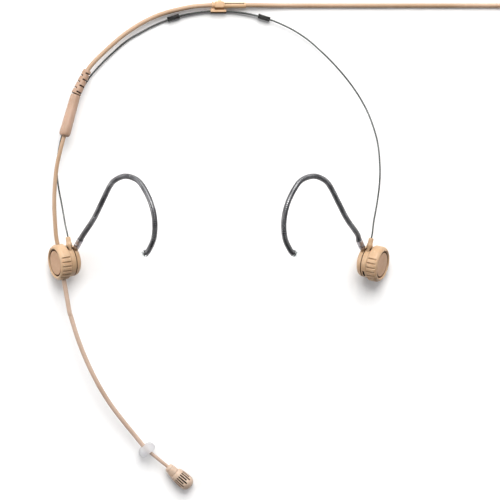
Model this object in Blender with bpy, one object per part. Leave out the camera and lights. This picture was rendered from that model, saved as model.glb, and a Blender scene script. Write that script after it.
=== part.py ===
"""Behind-the-neck headset microphone with two ear hooks, a telescoping wire band and a boom.

Frame: +X across the head, +Y towards the back of the head, +Z up off the table that the headset
lies on. The origin is on the table, in the middle of the headset's outline. Units are metres.
"""

import math

import bmesh
import bpy
from mathutils import Matrix, Vector

MM = 0.001

# Driving dimensions
HUB_RADIUS = 6.3 * MM             # plain layers of a hub
RING_RADIUS = 7.1 * MM            # ribbed layer
HUB_HALF = 4.45 * MM              # half the hub's thickness
BOOM_LEVEL = 1.75 * MM            # boom channel, outward from the middle of the hub
RIB_STEP = math.radians(15.0)     # grooves between the grip's ribs
GROOVE_COUNT = 13
FIRST_GROOVE = math.radians(-10.0)
BAND_RADIUS = 0.4 * MM            # neckband wire
BACK_RADIUS = 61.2 * MM           # circular back of the band
BACK_CENTRE = Vector((0.4, 32.5, 0.0)) * MM
LOW_WIRE = 0.9 * MM               # height of the left wire at the back
HIGH_WIRE = 2.0 * MM              # height of the right wire at the back
SLEEVE_ANGLE = math.radians(17.2)
WIRE_END_ANGLE = math.radians(19.0)
ARC_END_ANGLE = math.radians(30.0)
HOOK_RADIUS = 1.1 * MM
BOOM_RADIUS = 0.9 * MM
BOOM_FRONT_RADIUS = 0.6 * MM
BOOM_CABLE_RADIUS = 0.8 * MM
CORD_RADIUS = 0.9 * MM
CLIP_AXIS_Y = 95.9 * MM           # cable through the clip
CLIP_AXIS_Z = 1.9 * MM
RUN = 0.05 * MM                   # radial clearance of a running fit
GAP = 0.3 * MM                    # clearance between neighbours that touch

# Coil of the stowed cord
COIL_CENTRE = Vector((134.0, 81.0, 0.0)) * MM
COIL_MEAN = 10.4 * MM
COIL_TURNS = 5                    # side by side in a layer
COIL_LAYERS = 4
COIL_BASE = 0.8 * MM

# Plug
PLUG_AXIS_X = 150.4 * MM
PLUG_AXIS_Z = 4.3 * MM
PLUG_REAR_Y = 39.0 * MM

# Capsule
MIC_REAR = Vector((-19.9, -88.2, 3.2)) * MM
MIC_FRONT = Vector((-10.65, -96.1, 3.05)) * MM
GUARD_PLACE = Vector((-28.4, -81.2, 3.8)) * MM

# Middle of the left ear hook; the right one mirrors it
HOOK_ROUTE = [
    (-52.4, 4.6, 16.9), (-48.1, 10.3, 24.5), (-44.6, 16.5, 31.0), (-41.2, 22.6, 37.0),
    (-38.8, 25.1, 40.5), (-35.0, 26.4, 44.5), (-31.0, 25.4, 48.5), (-28.1, 22.8, 51.0),
    (-24.8, 16.5, 53.5), (-23.2, 9.8, 54.0), (-23.5, 3.0, 52.0), (-25.7, -2.0, 48.7),
    (-27.2, -3.2, 47.0)]
HOOK_MIRROR_X = 2.6               # twice the mirror plane's place, in millimetres

# Each side: sign, hub centre in millimetres, toe-in and tilt in degrees
LEFT = {"name": "left", "sign": -1, "centre": (-60.7, -6.3, 7.23), "toe": 10.0, "tilt": 28.0}
RIGHT = {"name": "right", "sign": 1, "centre": (61.7, -6.8, 7.2), "toe": 13.0, "tilt": 24.5}

# Band wires from the ferrules to the circular back, in millimetres
LEFT_WIRE_ROUTE = [
    (-60.3, 8.5, 10.0), (-61.8, 16.5, 8.6), (-63.2, 23.5, 7.4), (-63.8, 30.0, 6.4),
    (-63.3, 37.5, 5.3), (-61.6, 45.0, 4.3), (-59.0, 52.0, 3.5), (-55.8, 59.0, 2.7),
    (-51.6, 66.5, 2.0), (-47.0, 72.0, 1.5), (-41.5, 77.4, 1.1), (-35.8, 82.2, 0.95)]
RIGHT_WIRE_ROUTE = [
    (61.9, 9.5, 10.2), (63.3, 17.0, 8.9), (64.3, 24.5, 7.8), (64.5, 31.5, 6.9),
    (63.8, 40.0, 5.9), (62.2, 46.5, 5.1), (59.8, 53.0, 4.4), (56.4, 59.4, 3.7),
    (52.2, 65.5, 3.1), (47.2, 71.5, 2.6), (41.8, 77.0, 2.2), (36.2, 82.0, 2.05)]

# Boom from its straight stretch to the guard, in millimetres
BOOM_ROUTE = [
    (-58.3, -27.8, 7.9), (-55.5, -36.9, 7.6), (-52.0, -45.8, 7.1), (-47.8, -54.5, 6.6),
    (-42.9, -62.7, 5.8), (-37.2, -70.4, 4.9), (-33.0, -75.6, 4.3), (-30.2, -79.1, 4.0)]

# Cable from the left hub to the splice barrel, and on to the clip, in millimetres
BOOM_CABLE_ROUTE = [
    (-64.4, 8.5, 8.2), (-64.7, 14.0, 8.3), (-64.7, 20.0, 8.4), (-64.3, 26.5, 8.4),
    (-63.6, 32.0, 8.3), (-62.4, 37.5, 8.1)]
BARREL_LOW = Vector((-60.9, 43.4, 7.6)) * MM
BARREL_TOP = Vector((-56.4, 59.9, 6.0)) * MM
RELIEF_TOP = Vector((-51.8, 69.7, 4.6)) * MM
NECK_CABLE_ROUTE = [
    (-49.5, 72.8, 4.1), (-46.2, 76.2, 3.5), (-42.6, 79.6, 3.1), (-39.0, 82.8, 2.8),
    (-35.0, 85.8, 2.5), (-30.6, 88.6, 2.3), (-25.0, 91.4, 2.1), (-18.7, 93.5, 2.0),
    (-10.6, 95.3, 1.9), (-4.5, 95.85, 1.9)]

# Free cord, in millimetres: from the clip to the coil, and from the coil to the plug
CORD_LEAD_ROUTE = [
    (11.6, 95.9, 1.9), (16.0, 95.9, 1.8), (22.0, 95.9, 1.4), (29.0, 95.9, 1.0),
    (38.0, 95.9, 0.92), (50.0, 95.9, 0.92), (65.0, 95.9, 0.92), (80.0, 95.9, 0.92),
    (95.0, 95.9, 0.92), (108.0, 95.9, 0.92), (116.0, 95.9, 1.0), (121.0, 95.9, 1.3),
    (125.5, 95.9, 1.6)]
CORD_TAIL_ROUTE = [
    (148.3, 72.4, 6.7), (148.8, 67.5, 4.7), (149.4, 63.0, 2.4), (149.9, 58.5, 1.2),
    (150.2, 54.0, 0.95), (150.4, 50.0, 1.4), (150.4, 46.0, 2.9), (150.4, 42.5, 4.0),
    (150.4, 39.3, 4.3)]


def clear_scene():
    for item in list(bpy.data.objects):
        bpy.data.objects.remove(item)


def material(name, colour, roughness, metallic=0.0):
    mat = bpy.data.materials.new(name)
    mat.use_nodes = True
    shader = mat.node_tree.nodes["Principled BSDF"]
    shader.inputs["Base Color"].default_value = (*colour, 1.0)
    shader.inputs["Roughness"].default_value = roughness
    shader.inputs["Metallic"].default_value = metallic
    return mat


def empty(name, matrix, parent=None):
    item = bpy.data.objects.new(name, None)
    item.empty_display_size = 5 * MM
    bpy.context.collection.objects.link(item)
    item.parent = parent
    item.matrix_world = matrix
    bpy.context.view_layer.update()
    return item


def add_object(name, data, mat, parent=None, place=Matrix()):
    """Link an object; place is in the parent's frame."""
    item = bpy.data.objects.new(name, data)
    bpy.context.collection.objects.link(item)
    item.parent = parent
    item.matrix_basis = place
    if mat is not None:
        data.materials.append(mat)
    return item


def finish_mesh(bm, name, sharp_degrees=35.0):
    bmesh.ops.recalc_face_normals(bm, faces=bm.faces)
    mesh = bpy.data.meshes.new(name)
    bm.to_mesh(mesh)
    bm.free()
    mesh.shade_smooth()
    mesh.set_sharp_from_angle(angle=math.radians(sharp_degrees))
    return mesh


def turned_mesh(name, profile, steps=36):
    """Spin a closed outline of (radius, height) pairs about Z. Radius 0 closes on the axis."""
    bm = bmesh.new()
    verts = [bm.verts.new((radius, 0.0, height)) for radius, height in profile]
    edges = []
    for index, vert in enumerate(verts):
        following = verts[(index + 1) % len(verts)]
        on_axis = vert.co.x == 0.0 and following.co.x == 0.0
        if not on_axis:
            edges.append(bm.edges.new((vert, following)))
    bmesh.ops.spin(bm, geom=verts + edges, cent=(0, 0, 0), axis=(0, 0, 1),
                   angle=2 * math.pi, steps=steps, use_merge=True)
    bmesh.ops.remove_doubles(bm, verts=bm.verts, dist=0.001 * MM)
    return finish_mesh(bm, name)


def turned(name, profile, mat, parent=None, place=Matrix(), steps=36):
    return add_object(name, turned_mesh(name, profile, steps), mat, parent, place)


def box_mesh(name, size, bevel=0.0):
    bm = bmesh.new()
    bmesh.ops.create_cube(bm, size=1.0)
    bmesh.ops.scale(bm, vec=size, verts=bm.verts)
    if bevel > 0.0:
        bmesh.ops.bevel(bm, geom=bm.edges, offset=bevel, segments=1, profile=0.5,
                        affect="EDGES", material=-1)
    return finish_mesh(bm, name)


def along(start, end, roll_hint=Vector((0, 0, 1))):
    """Frame at start whose Z axis points at end."""
    axis = (end - start).normalized()
    side = roll_hint.cross(axis)
    if side.length < 1e-6:
        side = Vector((1, 0, 0)).cross(axis)
    side.normalize()
    up = axis.cross(side)
    turn = Matrix((side, up, axis)).transposed().to_4x4()
    return Matrix.Translation(start) @ turn


def smooth_path(points, spacing):
    """Even points on a smooth curve through the given points."""
    fine = []
    padded = [2 * points[0] - points[1]] + points + [2 * points[-1] - points[-2]]
    for index in range(1, len(padded) - 2):
        before, start, end, after = padded[index - 1:index + 3]
        for part in range(12):
            t = part / 12
            fine.append(0.5 * (2 * start + (end - before) * t
                               + (2 * before - 5 * start + 4 * end - after) * t ** 2
                               + (3 * start - before - 3 * end + after) * t ** 3))
    fine.append(points[-1])
    lengths = [0.0]
    for first, second in zip(fine, fine[1:]):
        lengths.append(lengths[-1] + (second - first).length)
    count = max(2, round(lengths[-1] / spacing))
    result = []
    place = 0
    for index in range(count + 1):
        wanted = lengths[-1] * index / count
        while place < len(fine) - 2 and lengths[place + 1] < wanted:
            place += 1
        span = lengths[place + 1] - lengths[place]
        share = (wanted - lengths[place]) / span if span > 0 else 0.0
        result.append(fine[place].lerp(fine[place + 1], min(share, 1.0)))
    return result


def tube(name, points, radius, mat, parent=None, spacing=4 * MM, resolution=2):
    """Round rod along a smooth path in world coordinates."""
    curve = bpy.data.curves.new(name, "CURVE")
    curve.dimensions = "3D"
    curve.bevel_depth = radius
    curve.bevel_resolution = resolution
    curve.use_fill_caps = True
    curve.resolution_u = 1
    path = smooth_path(points, spacing)
    spline = curve.splines.new("POLY")
    spline.points.add(len(path) - 1)
    for point, place in zip(spline.points, path):
        point.co = (*place, 1.0)
    item = add_object(name, curve, mat)
    attach(item, parent)
    return item


def attach(item, parent):
    """Parent an object that is placed in world coordinates, without moving it."""
    if parent is not None:
        item.parent = parent
        item.matrix_parent_inverse = parent.matrix_world.inverted()


def combine(item, tool, operation):
    """Boolean with a helper object, which stays in the file as a hidden guide."""
    tool.hide_render = True
    tool.display_type = "WIRE"
    step = item.modifiers.new(operation.title(), "BOOLEAN")
    step.operation = operation
    step.object = tool
    step.solver = "EXACT"


def cylinder_tool(name, radius, start, end, parent=None, steps=24):
    length = (end - start).length
    profile = [(0.0, 0.0), (radius, 0.0), (radius, length), (0.0, length)]
    return turned(name, profile, None, parent, along(start, end), steps)


def millimetres(points):
    return [Vector(point) * MM for point in points]


def back_arc(start_angle, end_angle, height, steps=8):
    """Points on the band's circular back; angle 0 is the middle, positive to the right."""
    points = []
    for index in range(steps + 1):
        angle = start_angle + (end_angle - start_angle) * index / steps
        offset = Vector((math.sin(angle), math.cos(angle), 0.0)) * BACK_RADIUS
        points.append(BACK_CENTRE + offset + Vector((0, 0, height)))
    return points


# Hub frame: local Z points outward along the hub's axis, local Y to the back of the head. The side
# that faces up is local +X on the left hub and -X on the right one.

def hub_matrix(side):
    toe = math.radians(side["toe"])
    tilt = math.radians(side["tilt"])
    sign = side["sign"]
    outward = Vector((sign * math.cos(toe) * math.cos(tilt),
                      -math.sin(toe) * math.cos(tilt), math.sin(tilt)))
    rear = Vector((sign * math.sin(toe), math.cos(toe), 0.0))
    across = rear.cross(outward)
    turn = Matrix((across, rear, outward)).transposed().to_4x4()
    return Matrix.Translation(Vector(side["centre"]) * MM) @ turn


def hub_point(side, up, rear, out):
    """Point in a hub's local frame, in metres."""
    return Vector((-side["sign"] * up, rear, out))


FERRULE_UP = 4.6 * MM
FERRULE_OUT = -1.15 * MM
FERRULE_TIP = 9.3 * MM
WIRE_SEAT = 2.6 * MM
HOOK_SEAT = (4.2 * MM, 4.0 * MM, -3.55 * MM)
HOOK_AIM = (0.855, 0.513, -0.07)
BOSS_LENGTH = 3.4 * MM
HOOK_SLEEVE_LENGTH = 3.0 * MM
SPIGOT_RADIUS = 3.4 * MM
SCREW_RADIUS = 0.8 * MM
CARRIER_OUT = -2.65 * MM
BODY_IN = -2.4 * MM
BODY_OUT = -0.1 * MM
RING_IN = 0.15 * MM


def hub_body(side, frame, mat):
    """Middle layer of a hub, with the ferrule that the band wire enters."""
    hole = SPIGOT_RADIUS + RUN
    groove_in = 3.9 * MM
    groove_out = 5.3 * MM
    groove = -0.55 * MM
    body = turned("hub_body_" + side["name"], [
        (hole, BODY_OUT), (hole, BODY_IN), (HUB_RADIUS, BODY_IN), (HUB_RADIUS, BODY_OUT),
        (groove_out, BODY_OUT), (groove_out, groove), (groove_in, groove), (groove_in, BODY_OUT)],
        mat, frame, steps=28)
    start = hub_point(side, FERRULE_UP, 3.8 * MM, FERRULE_OUT)
    tip = hub_point(side, FERRULE_UP, FERRULE_TIP, FERRULE_OUT)
    length = (tip - start).length
    ferrule = turned("guide_ferrule_" + side["name"], [
        (0.0, 0.0), (1.2 * MM, 0.0), (1.15 * MM, 0.45 * length), (0.95 * MM, 0.94 * length),
        (0.8 * MM, length), (0.0, length)], None, frame, along(start, tip), steps=14)
    combine(body, ferrule, "UNION")
    seat = cylinder_tool("guide_wire_bore_" + side["name"], BAND_RADIUS + 0.1 * MM,
                         hub_point(side, FERRULE_UP, WIRE_SEAT - 0.2 * MM, FERRULE_OUT),
                         hub_point(side, FERRULE_UP, FERRULE_TIP + 1 * MM, FERRULE_OUT),
                         frame, steps=10)
    combine(body, seat, "DIFFERENCE")
    if side is RIGHT:
        combine(body, key_slot(side, frame), "DIFFERENCE")
    return body


def key_slot(side, frame):
    """Narrow slot round part of the hub's edge, as a cutter."""
    angle = math.radians(57.0)
    middle = hub_point(side, HUB_RADIUS * math.cos(angle), -HUB_RADIUS * math.sin(angle), -1.4 * MM)
    turn = math.atan2(middle.y, middle.x)
    mesh = box_mesh("guide_key_slot", (1.8 * MM, 3.6 * MM, 0.55 * MM))
    return add_object("guide_key_slot", mesh, None, frame,
                      Matrix.Translation(middle) @ Matrix.Rotation(turn, 4, "Z"))


def friction_washer(side, frame, mat):
    return turned("friction_washer_" + side["name"], [
        (5.2 * MM, -0.5 * MM), (5.2 * MM, -0.2 * MM), (4.0 * MM, -0.2 * MM),
        (4.0 * MM, -0.5 * MM)], mat, frame, steps=20)


def ribbed_ring(name, side, frame, mat, with_channel):
    """Outer layer of a hub: ribbed round its edge, with a recess for the face disc."""
    spigot = -2.0 * MM
    thread = SCREW_RADIUS + RUN
    recess = 3.75 * MM
    stem = 1.1 * MM
    ring = turned(name, [
        (thread, spigot), (SPIGOT_RADIUS, spigot), (SPIGOT_RADIUS, RING_IN),
        (RING_RADIUS, RING_IN), (RING_RADIUS, 3.3 * MM), (RING_RADIUS - 0.55 * MM, 4.15 * MM),
        (5.9 * MM, HUB_HALF), (5.4 * MM, HUB_HALF), (5.4 * MM, recess), (stem, recess),
        (stem, 3.1 * MM), (0.0, 3.1 * MM), (0.0, 0.4 * MM), (thread, 0.4 * MM)],
        mat, frame, steps=32)
    combine(ring, rib_grooves(side, frame, with_channel), "DIFFERENCE")
    if with_channel:
        reach = RING_RADIUS + 1 * MM
        channel = cylinder_tool("guide_boom_channel", BOOM_RADIUS + RUN + 0.03 * MM,
                                hub_point(side, 0, reach, BOOM_LEVEL),
                                hub_point(side, 0, -reach, BOOM_LEVEL), frame, steps=16)
        combine(ring, channel, "DIFFERENCE")
    return ring


def rib_grooves(side, frame, with_channel):
    """Narrow grooves over the ring's front half, as one cutter, counted from the side that faces up."""
    bm = bmesh.new()
    depth = 0.35 * MM
    low = RING_IN - 0.5 * MM
    high = 3.55 * MM
    for index in range(GROOVE_COUNT):
        turn = FIRST_GROOVE + index * RIB_STEP
        at_channel = abs(turn - math.pi / 2) < 0.8 * RIB_STEP
        if with_channel and at_channel:
            continue
        place = hub_point(side, RING_RADIUS * math.cos(turn), -RING_RADIUS * math.sin(turn), 0.0)
        angle = math.atan2(place.y, place.x)
        made = bmesh.ops.create_cube(bm, size=1.0)["verts"]
        bmesh.ops.scale(bm, vec=(2 * depth, 0.5 * MM, high - low), verts=made)
        bmesh.ops.translate(bm, vec=(RING_RADIUS, 0.0, (high + low) / 2), verts=made)
        bmesh.ops.rotate(bm, cent=(0, 0, 0), matrix=Matrix.Rotation(angle, 3, "Z"), verts=made)
    mesh = finish_mesh(bm, "guide_grooves_" + side["name"])
    return add_object("guide_grooves_" + side["name"], mesh, None, frame)


def face_disc(side, frame, mat):
    """Flat cap in the ring's recess, on a short stem."""
    return turned("face_disc_" + side["name"], [
        (0.0, 3.2 * MM), (1.0 * MM, 3.2 * MM), (1.0 * MM, 3.8 * MM), (5.0 * MM, 3.8 * MM),
        (5.1 * MM, 4.0 * MM), (4.95 * MM, 4.15 * MM), (0.0, 4.2 * MM)],
        mat, frame, steps=24)


def pivot_screw(side, frame, mat):
    """Screw that holds the layers together; its head sits in the inner face."""
    head = -3.6 * MM
    return turned("pivot_screw_" + side["name"], [
        (0.0, -4.0 * MM), (0.55 * MM, -4.0 * MM), (0.55 * MM, -4.35 * MM), (1.5 * MM, -4.35 * MM),
        (1.65 * MM, -4.2 * MM), (1.65 * MM, head), (SCREW_RADIUS, head),
        (SCREW_RADIUS, 0.3 * MM), (0.0, 0.3 * MM)], mat, frame, steps=16)


def hook_carrier(side, frame, mat):
    """Inner layer of a hub, which turns with the ear hook."""
    shaft = SCREW_RADIUS + 2 * RUN
    head = 1.8 * MM
    floor = -3.5 * MM
    carrier = turned("hook_carrier_" + side["name"], [
        (shaft, CARRIER_OUT), (shaft, floor), (head, floor), (head, -HUB_HALF),
        (HUB_RADIUS - 1.1 * MM, -HUB_HALF), (HUB_RADIUS - 0.45 * MM, -HUB_HALF + 0.25 * MM),
        (HUB_RADIUS - 0.1 * MM, -HUB_HALF + 0.7 * MM), (HUB_RADIUS, CARRIER_OUT)],
        mat, frame, steps=28)
    start = hub_point(side, *HOOK_SEAT)
    end = start + hub_point(side, *HOOK_AIM).normalized() * BOSS_LENGTH
    boss_radius = 0.82 * MM
    boss = cylinder_tool("guide_boss_" + side["name"], boss_radius, start, end, frame, steps=14)
    combine(carrier, boss, "UNION")
    return carrier


def hook_start(side):
    """World point at the boss's end and the hook's direction there."""
    matrix = hub_matrix(side)
    seat = hub_point(side, *HOOK_SEAT)
    aim = hub_point(side, *HOOK_AIM).normalized()
    start = matrix @ (seat + aim * BOSS_LENGTH)
    return start, (matrix.to_3x3() @ aim).normalized()


def hook_points(side):
    start, aim = hook_start(side)
    route = HOOK_ROUTE
    if side is RIGHT:
        route = [(HOOK_MIRROR_X - x, y, z) for x, y, z in HOOK_ROUTE]
    return [start + aim * GAP, start + aim * (HOOK_SLEEVE_LENGTH + GAP)] + millimetres(route)


def hook_sleeve(side, pivot, mat):
    """Crimped ferrule over the boss's end and the hook's first millimetres."""
    start, aim = hook_start(side)
    inner = HOOK_RADIUS + RUN
    outer = 1.42 * MM
    sleeve = turned("hook_sleeve_" + side["name"], [
        (inner, 0.0), (inner, HOOK_SLEEVE_LENGTH), (outer - 0.1 * MM, HOOK_SLEEVE_LENGTH),
        (outer, HOOK_SLEEVE_LENGTH - 0.15 * MM), (outer, 0.15 * MM), (outer - 0.1 * MM, 0.0)],
        mat, None, along(start, start + aim), steps=16)
    attach(sleeve, pivot)
    return sleeve


def hook_tip(side, pivot, mat):
    """Soft bead on the hook's end."""
    points = hook_points(side)
    end = points[-1]
    aim = (points[-1] - points[-2]).normalized()
    radius = 1.35 * MM
    bore = HOOK_RADIUS + RUN
    depth = 1.0 * MM
    outline = [(0.0, 0.15 * MM), (bore, 0.15 * MM), (bore, -depth), (radius - 0.1 * MM, -depth)]
    steps = 3
    for index in range(steps):
        angle = 0.5 * math.pi * index / steps
        outline.append((radius * math.cos(angle), 0.5 * MM + radius * math.sin(angle)))
    outline.append((0.0, 0.5 * MM + radius))
    tip = turned("hook_tip_" + side["name"], outline, mat, None, along(end, end + aim), steps=16)
    attach(tip, pivot)
    return tip


def ear_hook(side, frame, mats):
    pivot = empty("pivot_ear_hook_" + side["name"], hub_matrix(side))
    hook_carrier(side, pivot, mats["plastic"])
    hook_sleeve(side, pivot, mats["steel"])
    tube("ear_hook_" + side["name"], hook_points(side), HOOK_RADIUS, mats["hook"], pivot,
         spacing=3.6 * MM)
    hook_tip(side, pivot, mats["clear"])


def wire_start(side):
    matrix = hub_matrix(side)
    rears = (WIRE_SEAT, FERRULE_TIP, FERRULE_TIP + 1.5 * MM)
    return [matrix @ hub_point(side, FERRULE_UP, rear, FERRULE_OUT) for rear in rears]


def band_wire(side, parent, mat):
    if side is LEFT:
        route = LEFT_WIRE_ROUTE
        arc = back_arc(-ARC_END_ANGLE, WIRE_END_ANGLE, LOW_WIRE)
    else:
        route = RIGHT_WIRE_ROUTE
        arc = back_arc(ARC_END_ANGLE, -WIRE_END_ANGLE, HIGH_WIRE)
    points = wire_start(side) + millimetres(route) + arc
    return tube("band_wire_" + side["name"], points, BAND_RADIUS, mat, parent, spacing=5 * MM,
                resolution=1)


def band_sleeve(name, angle, blind_height, open_height, blind_side, parent, mat):
    """Black sleeve: one wire ends in it, the other slides through it."""
    half = 2.45 * MM
    middle_height = (LOW_WIRE + HIGH_WIRE) / 2
    place = BACK_CENTRE + Vector((math.sin(angle), math.cos(angle), 0.0)) * BACK_RADIUS
    place.z = middle_height
    matrix = Matrix.Translation(place) @ Matrix.Rotation(-angle, 4, "Z")
    sleeve = add_object(name, box_mesh(name, (2 * half, 2.0 * MM, 2.8 * MM), 0.5 * MM), mat,
                        None, matrix)
    attach(sleeve, parent)
    bore = BAND_RADIUS + 0.1 * MM
    through = cylinder_tool("guide_through_" + name, bore,
                            matrix @ Vector((-2 * half, 0, open_height - middle_height)),
                            matrix @ Vector((2 * half, 0, open_height - middle_height)), steps=10)
    attach(through, parent)
    combine(sleeve, through, "DIFFERENCE")
    seat_end = blind_side * (half - 0.2 * MM)
    seat = cylinder_tool("guide_seat_" + name, bore,
                         matrix @ Vector((-blind_side * 2 * half, 0, blind_height - middle_height)),
                         matrix @ Vector((seat_end, 0, blind_height - middle_height)), steps=10)
    attach(seat, parent)
    combine(sleeve, seat, "DIFFERENCE")
    return sleeve


def clip_body(mat):
    """Cable clip: a block on the cable's guide and a keeper that both band wires pass through."""
    block_size = Vector((3.6, 3.5, 3.5)) * MM
    block_place = Vector((0.7 * MM, CLIP_AXIS_Y - 0.05 * MM, block_size.z / 2))
    block = add_object("clip_body", box_mesh("clip_body", block_size, 0.3 * MM), mat, None,
                       Matrix.Translation(block_place))
    keeper_size = Vector((6.3, 1.5, 3.1)) * MM
    keeper_place = Vector((0.3 * MM, 93.6 * MM, keeper_size.z / 2))
    keeper = add_object("guide_keeper", box_mesh("guide_keeper", keeper_size, 0.25 * MM), None,
                        None, Matrix.Translation(keeper_place))
    combine(block, keeper, "UNION")
    nub_place = Vector((0.8, 97.65, 1.7)) * MM
    nub = add_object("guide_nub", box_mesh("guide_nub", Vector((1.7, 1.2, 2.2)) * MM, 0.2 * MM),
                     None, None, Matrix.Translation(nub_place))
    combine(block, nub, "UNION")
    slot_height = HIGH_WIRE - LOW_WIRE + 2 * (BAND_RADIUS + 0.1 * MM)
    slot_place = Vector((0.3 * MM, 93.64 * MM, (LOW_WIRE + HIGH_WIRE) / 2))
    slot = add_object("guide_wire_slot",
                      box_mesh("guide_wire_slot", (9 * MM, 1.0 * MM, slot_height)), None, None,
                      Matrix.Translation(slot_place))
    combine(block, slot, "DIFFERENCE")
    axis_start = Vector((-4 * MM, CLIP_AXIS_Y, CLIP_AXIS_Z))
    axis_end = Vector((6 * MM, CLIP_AXIS_Y, CLIP_AXIS_Z))
    bore = cylinder_tool("guide_clip_bore", 1.22 * MM, axis_start, axis_end, steps=16)
    combine(block, bore, "DIFFERENCE")
    return block


def clip_cable_guide(mat):
    """Flanged tube that holds the cable in the clip."""
    bore = CORD_RADIUS + 0.1 * MM
    outer = 1.16 * MM
    flange = 1.5 * MM
    start = Vector((-2.3 * MM, CLIP_AXIS_Y, CLIP_AXIS_Z))
    length = 13.6 * MM
    return turned("clip_cable_guide", [
        (bore, 0.0), (flange, 0.0), (flange, 0.6 * MM), (outer, 0.6 * MM),
        (outer, length - 0.15 * MM), (outer - 0.1 * MM, length), (bore, length)],
        mat, None, along(start, start + Vector((1, 0, 0))), steps=16)


def splice_barrel(mat):
    """Hollow barrel over the joint between the boom's cable and the main cable."""
    length = (BARREL_TOP - BARREL_LOW).length
    wide = 2.35 * MM
    narrow = 2.05 * MM
    hollow = 1.5 * MM
    mouth = CORD_RADIUS + 0.15 * MM
    wall = 2.0 * MM
    return turned("splice_barrel", [
        (mouth, 0.0), (wide - 0.8 * MM, 0.0), (wide - 0.2 * MM, 0.4 * MM), (wide, 1.1 * MM),
        (narrow, length - 0.3 * MM), (narrow - 0.2 * MM, length), (mouth, length),
        (mouth, length - wall), (hollow, length - wall), (hollow, wall), (mouth, wall)],
        mat, None, along(BARREL_LOW, BARREL_TOP), steps=16)


def splice_core(mat):
    """Joint inside the barrel."""
    length = (BARREL_TOP - BARREL_LOW).length
    radius = 1.2 * MM
    start = 5.0 * MM
    end = length - 5.0 * MM
    return turned("splice_core", [(0.0, start), (radius, start), (radius, end), (0.0, end)],
                  mat, None, along(BARREL_LOW, BARREL_TOP), steps=12)


def strain_relief(mat):
    """Tapered relief, slotted from both sides in turn so that it can bend."""
    start = BARREL_TOP + (BARREL_TOP - BARREL_LOW).normalized() * GAP
    length = (RELIEF_TOP - start).length
    wide = 2.0 * MM
    narrow = 1.65 * MM
    bore = CORD_RADIUS + 0.15 * MM
    frame = along(start, RELIEF_TOP)
    relief = turned("strain_relief", [
        (bore, 0.0), (wide, 0.0), (narrow, length - 0.2 * MM), (narrow - 0.15 * MM, length),
        (bore, length)], mat, None, frame, steps=16)
    bm = bmesh.new()
    pitch = 2.75 * MM
    for index in range(7):
        side = -1 if index % 2 == 0 else 1
        height = 0.9 * MM + index * pitch / 2
        made = bmesh.ops.create_cube(bm, size=1.0)["verts"]
        bmesh.ops.scale(bm, vec=(2.4 * MM, 6 * MM, 0.45 * MM), verts=made)
        bmesh.ops.translate(bm, vec=(side * 1.3 * MM, 0.0, height), verts=made)
    cutter = add_object("guide_relief_slots", finish_mesh(bm, "guide_relief_slots"), None, None,
                        frame)
    combine(relief, cutter, "DIFFERENCE")
    return relief


def boom_cable(mat):
    matrix = hub_matrix(LEFT)
    start = [matrix @ hub_point(LEFT, 0, rear, BOOM_LEVEL) for rear in (7.6 * MM, 10.5 * MM)]
    axis = (BARREL_TOP - BARREL_LOW).normalized()
    end = [BARREL_LOW, BARREL_LOW + axis * 4.5 * MM]
    return tube("boom_cable", start + millimetres(BOOM_CABLE_ROUTE) + end, BOOM_CABLE_RADIUS, mat)


def neck_cable(mat):
    axis = (BARREL_TOP - BARREL_LOW).normalized()
    begin = [BARREL_TOP - axis * 4.5 * MM, BARREL_TOP, BARREL_TOP.lerp(RELIEF_TOP, 0.5),
             RELIEF_TOP]
    end = [Vector((x * MM, CLIP_AXIS_Y, CLIP_AXIS_Z)) for x in (-2.3, 4.0, 11.3)]
    return tube("neck_cable", begin + millimetres(NECK_CABLE_ROUTE) + end, CORD_RADIUS, mat,
                spacing=4.8 * MM)


def boom_points():
    """From inside the hub's channel to the guard."""
    matrix = hub_matrix(LEFT)
    rears = (0.5 * MM, -7.0 * MM, -14.0 * MM, -21.0 * MM)
    straight = [matrix @ hub_point(LEFT, 0, rear, BOOM_LEVEL) for rear in rears]
    return straight + millimetres(BOOM_ROUTE) + [GUARD_PLACE]


def boom_front(mat, parent):
    axis = (MIC_FRONT - MIC_REAR).normalized()
    start = GUARD_PLACE + (MIC_REAR - GUARD_PLACE).normalized() * GAP
    end = MIC_REAR + axis * 2.5 * MM
    return tube("boom_front", [start, GUARD_PLACE.lerp(MIC_REAR, 0.5), MIC_REAR, end],
                BOOM_FRONT_RADIUS, mat, parent)


def sweat_guard(mat, parent):
    """Soft clear disc that keeps sweat from running down the boom."""
    bore = BOOM_RADIUS + 0.35 * MM
    rim = 3.5 * MM
    half = 1.9 * MM
    axis = (GUARD_PLACE - boom_points()[-3]).normalized()
    start = GUARD_PLACE - axis * half
    guard = turned("sweat_guard", [
        (bore, 0.0), (rim - 1.6 * MM, 0.0), (rim - 0.4 * MM, 0.9 * MM), (rim, 1.9 * MM),
        (rim, 3.3 * MM), (rim - 0.5 * MM, 2 * half), (bore, 2 * half)],
        mat, None, along(start, GUARD_PLACE), steps=20)
    attach(guard, parent)
    return guard


def mic_body(mat, parent):
    """Rear of the capsule, which the boom enters."""
    bore = BOOM_FRONT_RADIUS + RUN + 0.05 * MM
    body = turned("mic_body", [
        (0.0, 3.0 * MM), (bore, 3.0 * MM), (bore, 0.0), (1.5 * MM, 0.0), (1.85 * MM, 0.3 * MM),
        (1.95 * MM, 3.6 * MM), (1.95 * MM, 5.0 * MM), (0.0, 5.0 * MM)],
        mat, None, along(MIC_REAR, MIC_FRONT), steps=20)
    attach(body, parent)
    return body


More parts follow.
